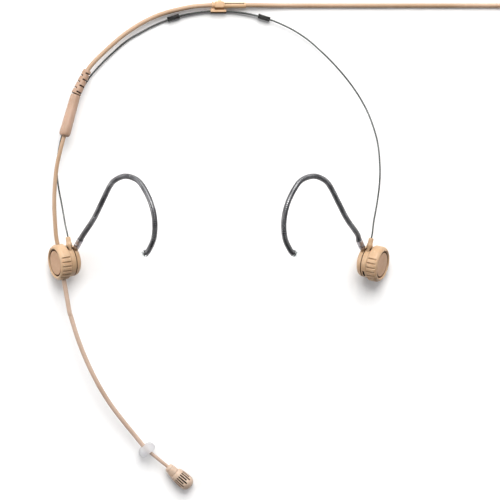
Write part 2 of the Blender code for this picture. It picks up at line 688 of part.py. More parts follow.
def mic_cap(mat, parent):
    """Hollow cap over the microphone element, with long and short slots in turn."""
    length = (MIC_FRONT - MIC_REAR).length
    start = 3.9 * MM
    neck = 2.0 * MM
    wall = 0.45 * MM
    wide = 3.0 * MM
    nose = 1.3 * MM
    outline = [(neck, start), (2.4 * MM, start), (2.6 * MM, start + 0.3 * MM),
               (wide, start + 2.6 * MM), (wide, length - nose)]
    inner = [(neck, start + 1.2 * MM), (wide - wall, start + 2.6 * MM),
             (wide - wall, length - nose)]
    steps = 3
    for index in range(1, steps):
        angle = 0.5 * math.pi * index / steps
        rise = nose * math.sin(angle)
        flat = wide - nose * (1 - math.cos(angle))
        outline.append((flat, length - nose + rise))
    outline += [(wide - nose, length), (0.0, length), (0.0, length - wall)]
    outline += [(wide - nose, length - wall)] + list(reversed(inner))
    frame = along(MIC_REAR, MIC_FRONT)
    cap = turned("mic_cap", outline, mat, None, frame, steps=24)
    attach(cap, parent)
    bm = bmesh.new()
    slot_count = 18
    slot_start = 5.7 * MM
    for index in range(slot_count):
        reach = 4.4 * MM if index % 2 == 0 else 3.4 * MM
        made = bmesh.ops.create_cube(bm, size=1.0)["verts"]
        bmesh.ops.scale(bm, vec=(2.0 * MM, 0.45 * MM, reach), verts=made)
        bmesh.ops.translate(bm, vec=(wide, 0.0, slot_start + reach / 2), verts=made)
        turn = Matrix.Rotation(math.pi / 2 + 2 * math.pi * index / slot_count, 3, "Z")
        bmesh.ops.rotate(bm, cent=(0, 0, 0), matrix=turn, verts=made)
    cutter = add_object("guide_cap_slots", finish_mesh(bm, "guide_cap_slots"), None, None, frame)
    attach(cutter, parent)
    combine(cap, cutter, "DIFFERENCE")
    return cap


def mic_element(mat, parent):
    radius = 1.9 * MM
    element = turned("mic_element", [
        (0.0, 6.9 * MM), (radius, 6.9 * MM), (radius, 9.6 * MM), (0.0, 9.6 * MM)],
        mat, None, along(MIC_REAR, MIC_FRONT), steps=16)
    attach(element, parent)
    return element


def coil_solid(mat):
    """Outer shape of the coiled cord."""
    diameter = 2 * CORD_RADIUS
    half = (COIL_TURNS + 1) * diameter / 2
    top = COIL_BASE + COIL_LAYERS * diameter
    corner = 0.7 * MM
    inner = COIL_MEAN - half
    outer = COIL_MEAN + half
    return turned("cord_coil", [
        (inner, COIL_BASE + corner), (inner + corner, COIL_BASE), (outer - corner, COIL_BASE),
        (outer, COIL_BASE + corner), (outer, top - corner), (outer - corner, top),
        (inner + corner, top), (inner, top - corner)],
        mat, None, Matrix.Translation(COIL_CENTRE), steps=24)


def cord_tie(mat):
    """Flat strap round the coil, at its front."""
    diameter = 2 * CORD_RADIUS
    half = (COIL_TURNS + 1) * diameter / 2 + 0.5 * MM
    strap = 0.5 * MM
    top = COIL_BASE + COIL_LAYERS * diameter + 0.3 * MM
    outer_size = (3 * MM, 2 * (half + strap), top + strap)
    inner_size = (6 * MM, 2 * half, top - strap)
    middle = COIL_CENTRE + Vector((0, -COIL_MEAN, (top + strap) / 2))
    tie = add_object("cord_tie", box_mesh("cord_tie", outer_size), mat, None,
                     Matrix.Translation(middle))
    tool = add_object("guide_tie_opening", box_mesh("guide_tie_opening", inner_size), None, None,
                      Matrix.Translation(middle))
    combine(tie, tool, "DIFFERENCE")
    return tie


def plug_frame():
    start = Vector((PLUG_AXIS_X, PLUG_REAR_Y, PLUG_AXIS_Z))
    return along(start, start + Vector((0, -1, 0)))


def plug(mats):
    """Small threaded jack: boot, body and the contacts of its pin."""
    frame = plug_frame()
    turned("plug_boot", [
        (0.95 * MM, 0.3 * MM), (1.4 * MM, 0.3 * MM), (2.9 * MM, 11.5 * MM), (0.95 * MM, 11.5 * MM)],
        mats["rubber"], None, frame, steps=20)
    turned("plug_body", [
        (1.6 * MM, 11.8 * MM), (3.6 * MM, 11.8 * MM), (4.25 * MM, 12.6 * MM),
        (4.25 * MM, 27.0 * MM), (3.0 * MM, 27.0 * MM), (3.0 * MM, 30.0 * MM), (1.6 * MM, 30.0 * MM)],
        mats["chrome"], None, frame, steps=20)
    pin = 1.75 * MM
    core = 1.5 * MM
    turned("plug_pin_sleeve", [
        (0.0, 22.0 * MM), (core, 22.0 * MM), (core, 30.2 * MM), (2.6 * MM, 30.2 * MM),
        (2.6 * MM, 30.8 * MM), (pin, 30.8 * MM), (pin, 37.5 * MM), (0.0, 37.5 * MM)],
        mats["chrome"], None, frame, steps=20)
    gap = 0.05 * MM
    bands = [("plug_insulator_rear", 37.5, 38.2, "rubber"), ("plug_pin_ring", 38.2, 40.8, "chrome"),
             ("plug_insulator_front", 40.8, 41.5, "rubber")]
    for name, low, high, slot in bands:
        start = low * MM + gap
        end = high * MM - gap
        turned(name, [(0.0, start), (pin, start), (pin, end), (0.0, end)], mats[slot], None,
               frame, steps=20)
    turned("plug_pin_tip", [
        (0.0, 41.5 * MM + gap), (pin, 41.5 * MM + gap), (pin, 42.3 * MM), (1.35 * MM, 42.9 * MM),
        (pin - 0.05 * MM, 43.6 * MM), (0.9 * MM, 44.8 * MM), (0.0, 45.2 * MM)],
        mats["chrome"], None, frame, steps=20)


def plug_collar(mat):
    """Knurled locking collar that turns on the plug's body."""
    pivot = empty("pivot_plug_collar", plug_frame())
    inner = 3.2 * MM
    outer = 4.2 * MM
    return turned("plug_collar", [
        (inner, 27.3 * MM), (outer - 0.2 * MM, 27.3 * MM), (outer, 27.6 * MM),
        (outer, 33.6 * MM), (outer - 0.3 * MM, 34.0 * MM), (inner, 34.0 * MM)],
        mat, pivot, steps=20)


def build():
    clear_scene()
    mats = {
        "plastic": material("tan_plastic", (0.68, 0.47, 0.33), 0.45),
        "face": material("tan_disc", (0.62, 0.40, 0.30), 0.5),
        "cable": material("tan_cable", (0.70, 0.50, 0.36), 0.5),
        "steel": material("spring_steel", (0.45, 0.45, 0.46), 0.3, 1.0),
        "hook": material("wound_steel", (0.16, 0.16, 0.17), 0.35, 1.0),
        "clear": material("clear_silicone", (0.85, 0.87, 0.86), 0.25),
        "rubber": material("black_rubber", (0.02, 0.02, 0.02), 0.6),
        "chrome": material("plug_chrome", (0.75, 0.75, 0.76), 0.15, 1.0),
        "core": material("splice_resin", (0.25, 0.22, 0.18), 0.5)}

    back_pivot = empty("pivot_band_slide", Matrix.Translation(BACK_CENTRE))
    hubs = {side["name"]: empty("hub_" + side["name"], hub_matrix(side)) for side in (LEFT, RIGHT)}
    attach(hubs["right"], back_pivot)

    for side in (LEFT, RIGHT):
        frame = hubs[side["name"]]
        hub_body(side, frame, mats["plastic"])
        friction_washer(side, frame, mats["steel"])
        ear_hook(side, frame, mats)
    band_wire(LEFT, None, mats["steel"])
    band_wire(RIGHT, back_pivot, mats["steel"])
    band_sleeve("band_sleeve_right", SLEEVE_ANGLE, LOW_WIRE, HIGH_WIRE, 1, None, mats["rubber"])
    band_sleeve("band_sleeve_left", -SLEEVE_ANGLE, HIGH_WIRE, LOW_WIRE, -1, back_pivot,
                mats["rubber"])

    holder = empty("pivot_boom_ring", hub_matrix(LEFT))
    ribbed_ring("boom_ring", LEFT, holder, mats["plastic"], True)
    face_disc(LEFT, holder, mats["face"])
    pivot_screw(LEFT, holder, mats["steel"])
    knob = empty("pivot_knob_ring", hub_matrix(RIGHT))
    attach(knob, back_pivot)
    ribbed_ring("knob_ring", RIGHT, knob, mats["plastic"], False)
    face_disc(RIGHT, knob, mats["face"])
    pivot_screw(RIGHT, knob, mats["steel"])

    slide = empty("slide_boom", hub_matrix(LEFT) @ Matrix.Translation((0, 0, BOOM_LEVEL)))
    attach(slide, holder)
    tube("boom_tube", boom_points(), BOOM_RADIUS, mats["cable"], slide)
    boom_front(mats["cable"], slide)
    mic_body(mats["plastic"], slide)
    mic_cap(mats["plastic"], slide)
    mic_element(mats["steel"], slide)
    guard_slide = empty("slide_sweat_guard", Matrix.Translation(GUARD_PLACE))
    attach(guard_slide, slide)
    sweat_guard(mats["clear"], guard_slide)

    clip_body(mats["plastic"])
    clip_cable_guide(mats["plastic"])
    boom_cable(mats["cable"])
    splice_barrel(mats["plastic"])
    splice_core(mats["core"])
    strain_relief(mats["plastic"])
    neck_cable(mats["cable"])

    tube("cord_lead", millimetres(CORD_LEAD_ROUTE), CORD_RADIUS, mats["cable"],
         spacing=5 * MM)
    tube("cord_tail", millimetres(CORD_TAIL_ROUTE), CORD_RADIUS, mats["cable"])
    coil_solid(mats["cable"])
    cord_tie(mats["rubber"])
    plug(mats)
    plug_collar(mats["chrome"])


build()
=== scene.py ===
"""Looks of the headset microphone: its smooth pieces, cord, finishes, light and camera.

Lengths in the tables are millimetres and MM turns them into metres. The frame is the CAD model's:
+X across the head, +Y to the back of the head, +Z up off the table.
"""

import math

import bmesh
import bpy
from mathutils import Matrix, Vector


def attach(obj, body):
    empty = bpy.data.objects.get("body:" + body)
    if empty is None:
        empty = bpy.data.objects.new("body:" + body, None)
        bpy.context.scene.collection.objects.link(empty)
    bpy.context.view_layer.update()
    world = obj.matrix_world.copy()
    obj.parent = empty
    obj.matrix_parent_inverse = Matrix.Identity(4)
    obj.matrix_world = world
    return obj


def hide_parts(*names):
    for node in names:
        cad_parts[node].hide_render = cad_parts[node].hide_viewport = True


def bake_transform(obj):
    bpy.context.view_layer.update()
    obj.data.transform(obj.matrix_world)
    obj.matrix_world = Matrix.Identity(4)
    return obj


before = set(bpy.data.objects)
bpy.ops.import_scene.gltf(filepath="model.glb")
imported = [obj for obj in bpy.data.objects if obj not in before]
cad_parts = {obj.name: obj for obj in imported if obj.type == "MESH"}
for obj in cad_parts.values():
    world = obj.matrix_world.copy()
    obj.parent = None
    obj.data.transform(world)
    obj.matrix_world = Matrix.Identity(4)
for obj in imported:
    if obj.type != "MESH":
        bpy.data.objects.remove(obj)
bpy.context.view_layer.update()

MM = 0.001

# Sizes shared with the CAD model
HUB_RADIUS = 6.3
RING_RADIUS = 7.1
HUB_HALF = 4.45
CARRIER_FACE = -4.9               # inner face of a hub
BOOM_LEVEL = 1.75
RIB_STEP = 15.0                   # degrees between the grip's grooves
FIRST_GROOVE = -10.0
GROOVE_COUNT = 13
BACK_CENTRE = Vector((0.4, 32.5, 0.0))
BACK_RADIUS = 61.2
LOW_WIRE = 0.9
HIGH_WIRE = 2.0
SLEEVE_ANGLE = 17.2
WIRE_END_ANGLE = 19.0
ARC_END_ANGLE = 30.0
BOOM_RADIUS = 0.9
BOOM_CABLE_RADIUS = 0.8
CORD_RADIUS = 0.9
CLIP_AXIS = Vector((0.0, 95.9, 1.9))
GUIDE_RADIUS = 1.16
GAP = 0.3
HOOK_MIRROR_X = 2.6
FERRULE_UP = 4.6
FERRULE_OUT = -1.15
FERRULE_TIP = 9.3
HOOK_SEAT = (4.2, 4.0, -3.55)
HOOK_AIM = (0.855, 0.513, -0.07)
BOSS_LENGTH = 3.4
MIC_REAR = Vector((-19.9, -88.2, 3.2))
MIC_FRONT = Vector((-10.65, -96.1, 3.05))
GUARD_PLACE = Vector((-28.4, -81.2, 3.8))
BARREL_LOW = Vector((-60.9, 43.4, 7.6))
BARREL_TOP = Vector((-56.4, 59.9, 6.0))
RELIEF_TOP = Vector((-51.8, 69.7, 4.6))
COIL_CENTRE = Vector((134.0, 81.0, 0.0))
COIL_MEAN = 10.4                  # radius at the middle of the coil's width
COIL_BASE = 0.8                   # height of the coil's underside
COIL_LAYERS = 4
PLUG_REAR = Vector((150.4, 39.0, 4.3))

# Radii that differ a little from the CAD model's
WIRE_LOOK = 0.33                  # neckband wire
FRONT_LOOK = 0.68                 # thin end of the boom

LEFT = {"name": "left", "sign": -1, "centre": (-60.7, -6.3, 7.23), "toe": 10.0, "tilt": 28.0}
RIGHT = {"name": "right", "sign": 1, "centre": (61.7, -6.8, 7.2), "toe": 13.0, "tilt": 24.5}

HOOK_ROUTE = [
    (-52.4, 4.6, 16.9), (-48.1, 10.3, 24.5), (-44.6, 16.5, 31.0), (-41.2, 22.6, 37.0),
    (-38.8, 25.1, 40.5), (-35.0, 26.4, 44.5), (-31.0, 25.4, 48.5), (-28.1, 22.8, 51.0),
    (-24.8, 16.5, 53.5), (-23.2, 9.8, 54.0), (-23.5, 3.0, 52.0), (-25.7, -2.0, 48.7),
    (-27.2, -3.2, 47.0)]
LEFT_WIRE_ROUTE = [
    (-60.3, 8.5, 10.0), (-61.8, 16.5, 8.6), (-63.2, 23.5, 7.4), (-63.8, 30.0, 6.4),
    (-63.3, 37.5, 5.3), (-61.6, 45.0, 4.3), (-59.0, 52.0, 3.5), (-55.8, 59.0, 2.7),
    (-51.6, 66.5, 2.0), (-47.0, 72.0, 1.5), (-41.5, 77.4, 1.1), (-35.8, 82.2, 0.95)]
RIGHT_WIRE_ROUTE = [
    (61.9, 9.5, 10.2), (63.3, 17.0, 8.9), (64.3, 24.5, 7.8), (64.5, 31.5, 6.9),
    (63.8, 40.0, 5.9), (62.2, 46.5, 5.1), (59.8, 53.0, 4.4), (56.4, 59.4, 3.7),
    (52.2, 65.5, 3.1), (47.2, 71.5, 2.6), (41.8, 77.0, 2.2), (36.2, 82.0, 2.05)]
BOOM_ROUTE = [
    (-58.3, -27.8, 7.9), (-55.5, -36.9, 7.6), (-52.0, -45.8, 7.1), (-47.8, -54.5, 6.6),
    (-42.9, -62.7, 5.8), (-37.2, -70.4, 4.9), (-33.0, -75.6, 4.3), (-30.2, -79.1, 4.0)]
BOOM_CABLE_ROUTE = [
    (-64.4, 8.5, 8.2), (-64.7, 14.0, 8.3), (-64.7, 20.0, 8.4), (-64.3, 26.5, 8.4),
    (-63.6, 32.0, 8.3), (-62.4, 37.5, 8.1)]
NECK_CABLE_ROUTE = [
    (-49.5, 72.8, 4.1), (-46.2, 76.2, 3.5), (-42.6, 79.6, 3.1), (-39.0, 82.8, 2.8),
    (-35.0, 85.8, 2.5), (-30.6, 88.6, 2.3), (-25.0, 91.4, 2.1), (-18.7, 93.5, 2.0),
    (-10.6, 95.3, 1.9), (-4.5, 95.85, 1.9)]
CORD_LEAD_ROUTE = [
    (11.1, 95.9, 1.9), (16.0, 95.9, 1.8), (22.0, 95.9, 1.4), (29.0, 95.9, 1.0),
    (38.0, 95.9, 0.92), (50.0, 95.9, 0.92), (65.0, 95.9, 0.92), (80.0, 95.9, 0.92),
    (95.0, 95.9, 0.92), (108.0, 95.9, 0.92), (116.0, 95.9, 1.0), (121.0, 95.9, 1.3),
    (125.5, 95.9, 1.6), (130.0, 95.9, 1.7)]
CORD_TAIL_ROUTE = [
    (148.3, 72.4, 6.7), (148.8, 67.5, 4.7), (149.4, 63.0, 2.4), (149.9, 58.5, 1.2),
    (150.2, 54.0, 0.95), (150.4, 50.0, 1.4), (150.4, 46.0, 2.9), (150.4, 42.5, 4.0),
    (150.4, 38.0, 4.3)]


# Camera, light and table

def camera():
    """Straight above the headset, at arm's length, with a long lens."""
    data = bpy.data.cameras.new("camera")
    data.lens = 180.0
    data.sensor_width = 36.0
    data.clip_start = 0.01
    item = bpy.data.objects.new("camera", data)
    item.location = (0.0129, -0.0018, 1.0)
    bpy.context.collection.objects.link(item)
    bpy.context.scene.camera = item


def area_light(name, place, size, power, colour):
    data = bpy.data.lights.new(name, "AREA")
    data.shape = "DISK"
    data.size = size
    data.energy = power
    data.color = colour
    item = bpy.data.objects.new(name, data)
    item.location = place
    item.rotation_euler = (-Vector(place)).to_track_quat("-Z", "Y").to_euler()
    bpy.context.collection.objects.link(item)


def light():
    area_light("key_light", (0.1, 0.72, 0.84), 1.0, 12.6, (1.0, 0.985, 0.95))
    area_light("side_light", (-0.95, 0.1, 0.45), 0.5, 2.9, (1.0, 0.98, 0.95))
    world = bpy.data.worlds.new("studio")
    world.use_nodes = True
    tree = world.node_tree
    background = tree.nodes["Background"]
    background.inputs["Color"].default_value = (0.97, 0.98, 1.0, 1.0)
    sky = tree.nodes.new("ShaderNodeTexCoord")
    parts = tree.nodes.new("ShaderNodeSeparateXYZ")
    tree.links.new(sky.outputs["Generated"], parts.inputs["Vector"])
    tree.links.new(spread(tree, parts.outputs["Y"], -0.9, 0.9, 0.03, 0.74),
                   background.inputs["Strength"])
    bpy.context.scene.world = world
    bpy.context.scene.view_settings.view_transform = "Standard"
    bpy.context.scene.view_settings.look = "Medium High Contrast"


def table_top():
    bm = bmesh.new()
    bmesh.ops.create_grid(bm, x_segments=1, y_segments=1, size=1.5)
    mesh = bpy.data.meshes.new("table_top")
    bm.to_mesh(mesh)
    bm.free()
    item = bpy.data.objects.new("table_top", mesh)
    bpy.context.collection.objects.link(item)
    mesh.materials.append(surface_finish("table_white", srgb(0.965, 0.965, 0.97),
                                         srgb(0.955, 0.955, 0.96), 0.75, patch=12.0,
                                         grain=900.0, relief=0.01))


# Finishes

def srgb(red, green, blue):
    """Linear colour from screen values between 0 and 1."""
    return tuple(((value + 0.055) / 1.055) ** 2.4 for value in (red, green, blue)) + (1.0,)


def noise(tree, coords, scale, detail, stretch=None):
    """Noise on the object's own coordinates, stretched if asked."""
    source = coords.outputs["Object"]
    if stretch is not None:
        mapping = tree.nodes.new("ShaderNodeMapping")
        mapping.inputs["Scale"].default_value = stretch
        tree.links.new(source, mapping.inputs["Vector"])
        source = mapping.outputs["Vector"]
    node = tree.nodes.new("ShaderNodeTexNoise")
    node.inputs["Scale"].default_value = scale
    node.inputs["Detail"].default_value = detail
    tree.links.new(source, node.inputs["Vector"])
    return node.outputs["Fac"]


def spread(tree, value, low, high, to_low, to_high):
    node = tree.nodes.new("ShaderNodeMapRange")
    node.inputs["From Min"].default_value = low
    node.inputs["From Max"].default_value = high
    node.inputs["To Min"].default_value = to_low
    node.inputs["To Max"].default_value = to_high
    tree.links.new(value, node.inputs["Value"])
    return node.outputs["Result"]


def mixed(tree, factor, first, second):
    """Colour mix; each colour is a value or another node's output."""
    node = tree.nodes.new("ShaderNodeMix")
    node.data_type = "RGBA"
    tree.links.new(factor, node.inputs[0])
    for place, colour in ((6, first), (7, second)):
        if isinstance(colour, tuple):
            node.inputs[place].default_value = colour
        else:
            tree.links.new(colour, node.inputs[place])
    return node.outputs[2]


def surface_finish(name, light_tone, dark_tone, roughness, metallic=0.0, patch=110.0, grain=5200.0,
                   relief=0.02, wear_tone=None, transmission=0.0, subsurface=0.0, coat=0.0,
                   grain_share=0.35, crevice_shade=None):
    """Finish with slow patches, fine grain, scuffs, a fine relief and an uneven gloss.

    Given a crevice tone, the colour turns to that tone as painted shade where other surfaces come closer
    than CREVICE_REACH.
    """
    mat = bpy.data.materials.new(name)
    mat.use_nodes = True
    tree = mat.node_tree
    shader = tree.nodes["Principled BSDF"]
    coords = tree.nodes.new("ShaderNodeTexCoord")
    patches = noise(tree, coords, patch, 4.0)
    grains = noise(tree, coords, grain, 2.0)
    scuffs = noise(tree, coords, 9.0 * patch, 3.0, (1.0, 0.35, 1.0))

    colour = mixed(tree, spread(tree, patches, 0.35, 0.65, 0.0, 1.0), light_tone, dark_tone)
    colour = mixed(tree, spread(tree, grains, 0.45, 0.75, 0.0, grain_share), colour, dark_tone)
    worn = wear_tone or tuple(min(1.0, 1.15 * part) for part in light_tone[:3]) + (1.0,)
    colour = mixed(tree, spread(tree, scuffs, 0.58, 0.72, 0.0, 0.45), colour, worn)
    # Painted shade: an ambient occlusion node darkens the colour towards the tone in crevices and between
    # parts.
    if crevice_shade is not None:
        crevice = tree.nodes.new("ShaderNodeAmbientOcclusion")
        crevice.inputs["Distance"].default_value = CREVICE_REACH * MM
        crevice.samples = 8
        shade = spread(tree, crevice.outputs["AO"], 0.25, 0.85, 0.0, 1.0)
        colour = mixed(tree, shade, crevice_shade, colour)
    tree.links.new(colour, shader.inputs["Base Color"])

    gloss = tree.nodes.new("ShaderNodeMath")
    gloss.operation = "ADD"
    low = max(0.03, roughness - 0.06)
    tree.links.new(spread(tree, patches, 0.3, 0.7, low, roughness + 0.06), gloss.inputs[0])
    tree.links.new(spread(tree, scuffs, 0.55, 0.75, 0.0, 0.12), gloss.inputs[1])
    tree.links.new(gloss.outputs[0], shader.inputs["Roughness"])

    bump = tree.nodes.new("ShaderNodeBump")
    bump.inputs["Strength"].default_value = 0.5
    bump.inputs["Distance"].default_value = relief * MM
    tree.links.new(grains, bump.inputs["Height"])
    tree.links.new(bump.outputs["Normal"], shader.inputs["Normal"])

    shader.inputs["Metallic"].default_value = metallic
    shader.inputs["Transmission Weight"].default_value = transmission
    shader.inputs["Coat Weight"].default_value = coat
    shader.inputs["Coat Roughness"].default_value = 0.2
    shader.inputs["Subsurface Weight"].default_value = subsurface
    shader.inputs["Subsurface Radius"].default_value = (0.8 * MM, 0.45 * MM, 0.3 * MM)
    shader.inputs["Subsurface Scale"].default_value = 1.0
    shader.inputs["IOR"].default_value = 1.41 if transmission > 0.0 else 1.48
    return mat


CREVICE_SHADE_TONE = srgb(0.30, 0.18, 0.10)    # painted shade: the tone the plastic's crevices, seams and recesses darken to
CREVICE_REACH = 1.6


def finishes():
    """One finish for each material of the real object; the dark recess finish and the crevice darkening
    of the tan plastics are painted shade.
    """
    return {
        "plastic": surface_finish("hub_plastic", srgb(0.79, 0.675, 0.56), srgb(0.73, 0.61, 0.49), 0.42,
                                  relief=0.012, subsurface=0.15, crevice_shade=CREVICE_SHADE_TONE),
        "disc": surface_finish("disc_plastic", srgb(0.765, 0.63, 0.52), srgb(0.715, 0.575, 0.46), 0.5,
                               relief=0.015, subsurface=0.1, crevice_shade=CREVICE_SHADE_TONE),
        "clip": surface_finish("clip_plastic", srgb(0.83, 0.71, 0.59), srgb(0.77, 0.64, 0.51), 0.4,
                               relief=0.012, subsurface=0.1),
        "barrel": surface_finish("barrel_plastic", srgb(0.72, 0.61, 0.54), srgb(0.66, 0.55, 0.475),
                                 0.45, relief=0.012, subsurface=0.15, crevice_shade=CREVICE_SHADE_TONE),
        "capsule": surface_finish("capsule_plastic", srgb(0.80, 0.715, 0.645), srgb(0.73, 0.64, 0.57),
                                  0.42, relief=0.012, subsurface=0.1, crevice_shade=CREVICE_SHADE_TONE),
        "cable": surface_finish("cable_jacket", srgb(0.74, 0.635, 0.55), srgb(0.68, 0.57, 0.47), 0.45,
                                patch=60.0, grain=7000.0, relief=0.01, subsurface=0.1),
        "boom": surface_finish("boom_jacket", srgb(0.77, 0.68, 0.62), srgb(0.71, 0.615, 0.55), 0.42,
                               patch=60.0, grain=7000.0, relief=0.01),
        "wire": surface_finish("band_steel", srgb(0.44, 0.45, 0.45), srgb(0.32, 0.33, 0.33), 0.45,
                               metallic=1.0, relief=0.004, wear_tone=srgb(0.5, 0.5, 0.5)),
        "wound": surface_finish("wound_steel_wire", srgb(0.54, 0.54, 0.55), srgb(0.38, 0.38, 0.39),
                                0.3, metallic=1.0, relief=0.004,
                                wear_tone=srgb(0.62, 0.62, 0.62)),
        "ferrule": surface_finish("ferrule_steel", srgb(0.80, 0.79, 0.80), srgb(0.66, 0.65, 0.68),
                                  0.38, metallic=0.9, relief=0.005,
                                  wear_tone=srgb(0.62, 0.58, 0.58)),
        "clear": surface_finish("clear_silicone", srgb(0.96, 0.97, 0.97), srgb(0.90, 0.92, 0.92), 0.16,
                                relief=0.006, transmission=0.92, grain_share=0.1),
        "frosted": surface_finish("frosted_silicone", srgb(0.985, 0.985, 0.99),
                                  srgb(0.95, 0.95, 0.96), 0.5, relief=0.012, transmission=0.8,
                                  grain_share=0.15),
        "rubber": surface_finish("black_rubber", srgb(0.07, 0.07, 0.07), srgb(0.03, 0.03, 0.03), 0.32,
                                 relief=0.01, wear_tone=srgb(0.16, 0.16, 0.16)),
        "chrome": surface_finish("plug_nickel", srgb(0.80, 0.80, 0.79), srgb(0.70, 0.70, 0.69), 0.18,
                                 metallic=1.0, relief=0.004, wear_tone=srgb(0.6, 0.6, 0.6)),
        "insulator": surface_finish("pin_insulator", srgb(0.16, 0.16, 0.16), srgb(0.08, 0.08, 0.08),
                                    0.45, relief=0.006),
        "resin": surface_finish("joint_resin", srgb(0.45, 0.38, 0.28), srgb(0.33, 0.27, 0.20), 0.4,
                                relief=0.03),
        "pin": surface_finish("pin_copper", srgb(0.42, 0.20, 0.18), srgb(0.25, 0.10, 0.10), 0.4,
                              metallic=0.7, relief=0.01, wear_tone=srgb(0.5, 0.3, 0.28)),
        # Painted shade: a dark brown laid on slots, slits, the clip's front lip and the cap's inner wall,
        # where shade falls.
        "hollow": surface_finish("capsule_hollow", srgb(0.26, 0.16, 0.11), srgb(0.16, 0.09, 0.06), 0.7,
                                 relief=0.02, wear_tone=srgb(0.3, 0.2, 0.14)),
        "mesh": surface_finish("element_steel", srgb(0.24, 0.20, 0.17), srgb(0.12, 0.09, 0.08), 0.5,
                               metallic=0.5, grain=9000.0, relief=0.05),
    }


# Modelling helpers

def new_piece(name, bm, mat, place=Matrix(), sharp_degrees=40.0, merge=0.0005):
    """Turn a bmesh in millimetres into a finished object whose place is in its mesh."""
    bmesh.ops.remove_doubles(bm, verts=bm.verts, dist=merge)
    bmesh.ops.transform(bm, matrix=place, verts=bm.verts)
    bmesh.ops.scale(bm, vec=(MM, MM, MM), verts=bm.verts)
    bmesh.ops.recalc_face_normals(bm, faces=bm.faces)
    mesh = bpy.data.meshes.new(name)
    bm.to_mesh(mesh)
    bm.free()
    return shaded(name, mesh, mat, sharp_degrees)


def shaded(name, mesh, mat, sharp_degrees=40.0):
    """Finished object from a mesh; clearing materials would also reset the faces' own indices."""
    mesh.shade_smooth()
    mesh.set_sharp_from_angle(angle=math.radians(sharp_degrees))
    if mesh.materials:
        mesh.materials.clear()
    mesh.materials.append(mat)
    item = bpy.data.objects.new(name, mesh)
    bpy.context.collection.objects.link(item)
    return item


def fit(item, body, slot, *nodes):
    """Tie a piece to its body and show it instead of the CAD nodes; the slot argument is not used."""
    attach(item, body)
    if nodes:
        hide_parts(*nodes)
    return item


def soften(outline, steps=4):
    """Round the corners of a closed outline of (radius, height, corner size)."""
    points = []
    count = len(outline)
    for index, (radius, height, corner) in enumerate(outline):
        here = Vector((radius, height))
        if corner == 0.0:
            points.append(here)
            continue
        before = Vector(outline[index - 1][:2]) - here
        after = Vector(outline[(index + 1) % count][:2]) - here
        start = here + before.normalized() * min(corner, 0.45 * before.length)
        end = here + after.normalized() * min(corner, 0.45 * after.length)
        for step in range(steps + 1):
            t = step / steps
            points.append(start * (1 - t) ** 2 + here * 2 * t * (1 - t) + end * t ** 2)
    return points


def spin_outline(bm, points, steps, place=Matrix(), closed=True):
    """Spin (radius, height) points about Z and put the shape in place; returns its vertices."""
    known = set(bm.verts)
    verts = [bm.verts.new((point.x, 0.0, point.y)) for point in points]
    edges = []
    last = len(verts) if closed else len(verts) - 1
    for index in range(last):
        vert = verts[index]
        following = verts[(index + 1) % len(verts)]
        if not (vert.co.x == 0.0 and following.co.x == 0.0):
            edges.append(bm.edges.new((vert, following)))
    bmesh.ops.spin(bm, geom=verts + edges, cent=(0, 0, 0), axis=(0, 0, 1),
                   angle=2 * math.pi, steps=steps, use_merge=True)
    made = [vert for vert in bm.verts if vert not in known]
    bmesh.ops.remove_doubles(bm, verts=made, dist=0.0005)
    made = [vert for vert in bm.verts if vert not in known]
    bmesh.ops.transform(bm, matrix=place, verts=made)
    return made


def turned(name, outline, mat, place=Matrix(), steps=72):
    bm = bmesh.new()
    spin_outline(bm, soften(outline), steps)
    return new_piece(name, bm, mat, place)


def rows(radius, low, high, step):
    """Evenly spaced outline points up a straight wall."""
    count = max(1, round((high - low) / step))
    return [Vector((radius, low + (high - low) * index / count)) for index in range(count + 1)]


def along(start, end):
    """Frame at start whose Z axis points at end and whose Y axis stays near the vertical."""
    axis = (end - start).normalized()
    side = Vector((0, 0, 1)).cross(axis)
    if side.length < 1e-6:
        side = Vector((1, 0, 0)).cross(axis)
    side.normalize()
    turn = Matrix((side, axis.cross(side), axis)).transposed().to_4x4()
    return Matrix.Translation(start) @ turn


def smooth_path(points, spacing):
    """Even points on a smooth curve through the given points."""
    points = [Vector(point) for point in points]
    fine = []
    padded = [2 * points[0] - points[1]] + points + [2 * points[-1] - points[-2]]
    for index in range(1, len(padded) - 2):
        before, start, end, after = padded[index - 1:index + 3]
        for part in range(24):
            t = part / 24
            fine.append(0.5 * (2 * start + (end - before) * t
                               + (2 * before - 5 * start + 4 * end - after) * t ** 2
                               + (3 * start - before - 3 * end + after) * t ** 3))
    fine.append(points[-1])
    lengths = [0.0]
    for first, second in zip(fine, fine[1:]):
        lengths.append(lengths[-1] + (second - first).length)
    count = max(2, round(lengths[-1] / spacing))
    result = []
    place = 0
    for index in range(count + 1):
        wanted = lengths[-1] * index / count
        while place < len(fine) - 2 and lengths[place + 1] < wanted:
            place += 1
        span = lengths[place + 1] - lengths[place]
        share = (wanted - lengths[place]) / span if span > 0 else 0.0
        result.append(fine[place].lerp(fine[place + 1], min(share, 1.0)))
    return result


def curve_through(name, points, radius, resolution, kind="POLY"):
    """Round rod along the points, as a curve in metres."""
    curve = bpy.data.curves.new(name, "CURVE")
    curve.dimensions = "3D"
    curve.bevel_depth = radius * MM
    curve.bevel_resolution = resolution
    curve.use_fill_caps = True
    spline = curve.splines.new(kind)
    spline.points.add(len(points) - 1)
    for target, point in zip(spline.points, points):
        target.co = (point.x * MM, point.y * MM, point.z * MM, 1.0)
    return curve


def rod(name, points, radius, mat, resolution=5):
    """Mesh of a round rod along the points, with flat ends."""
    curve = curve_through(name, points, radius, resolution)
    guide = bpy.data.objects.new(name + "_guide", curve)
    bpy.context.collection.objects.link(guide)
    bpy.context.view_layer.update()
    graph = bpy.context.evaluated_depsgraph_get()
    mesh = bpy.data.meshes.new_from_object(guide.evaluated_get(graph))
    bpy.data.objects.remove(guide)
    bpy.data.curves.remove(curve)
    return shaded(name, mesh, mat, 50.0)


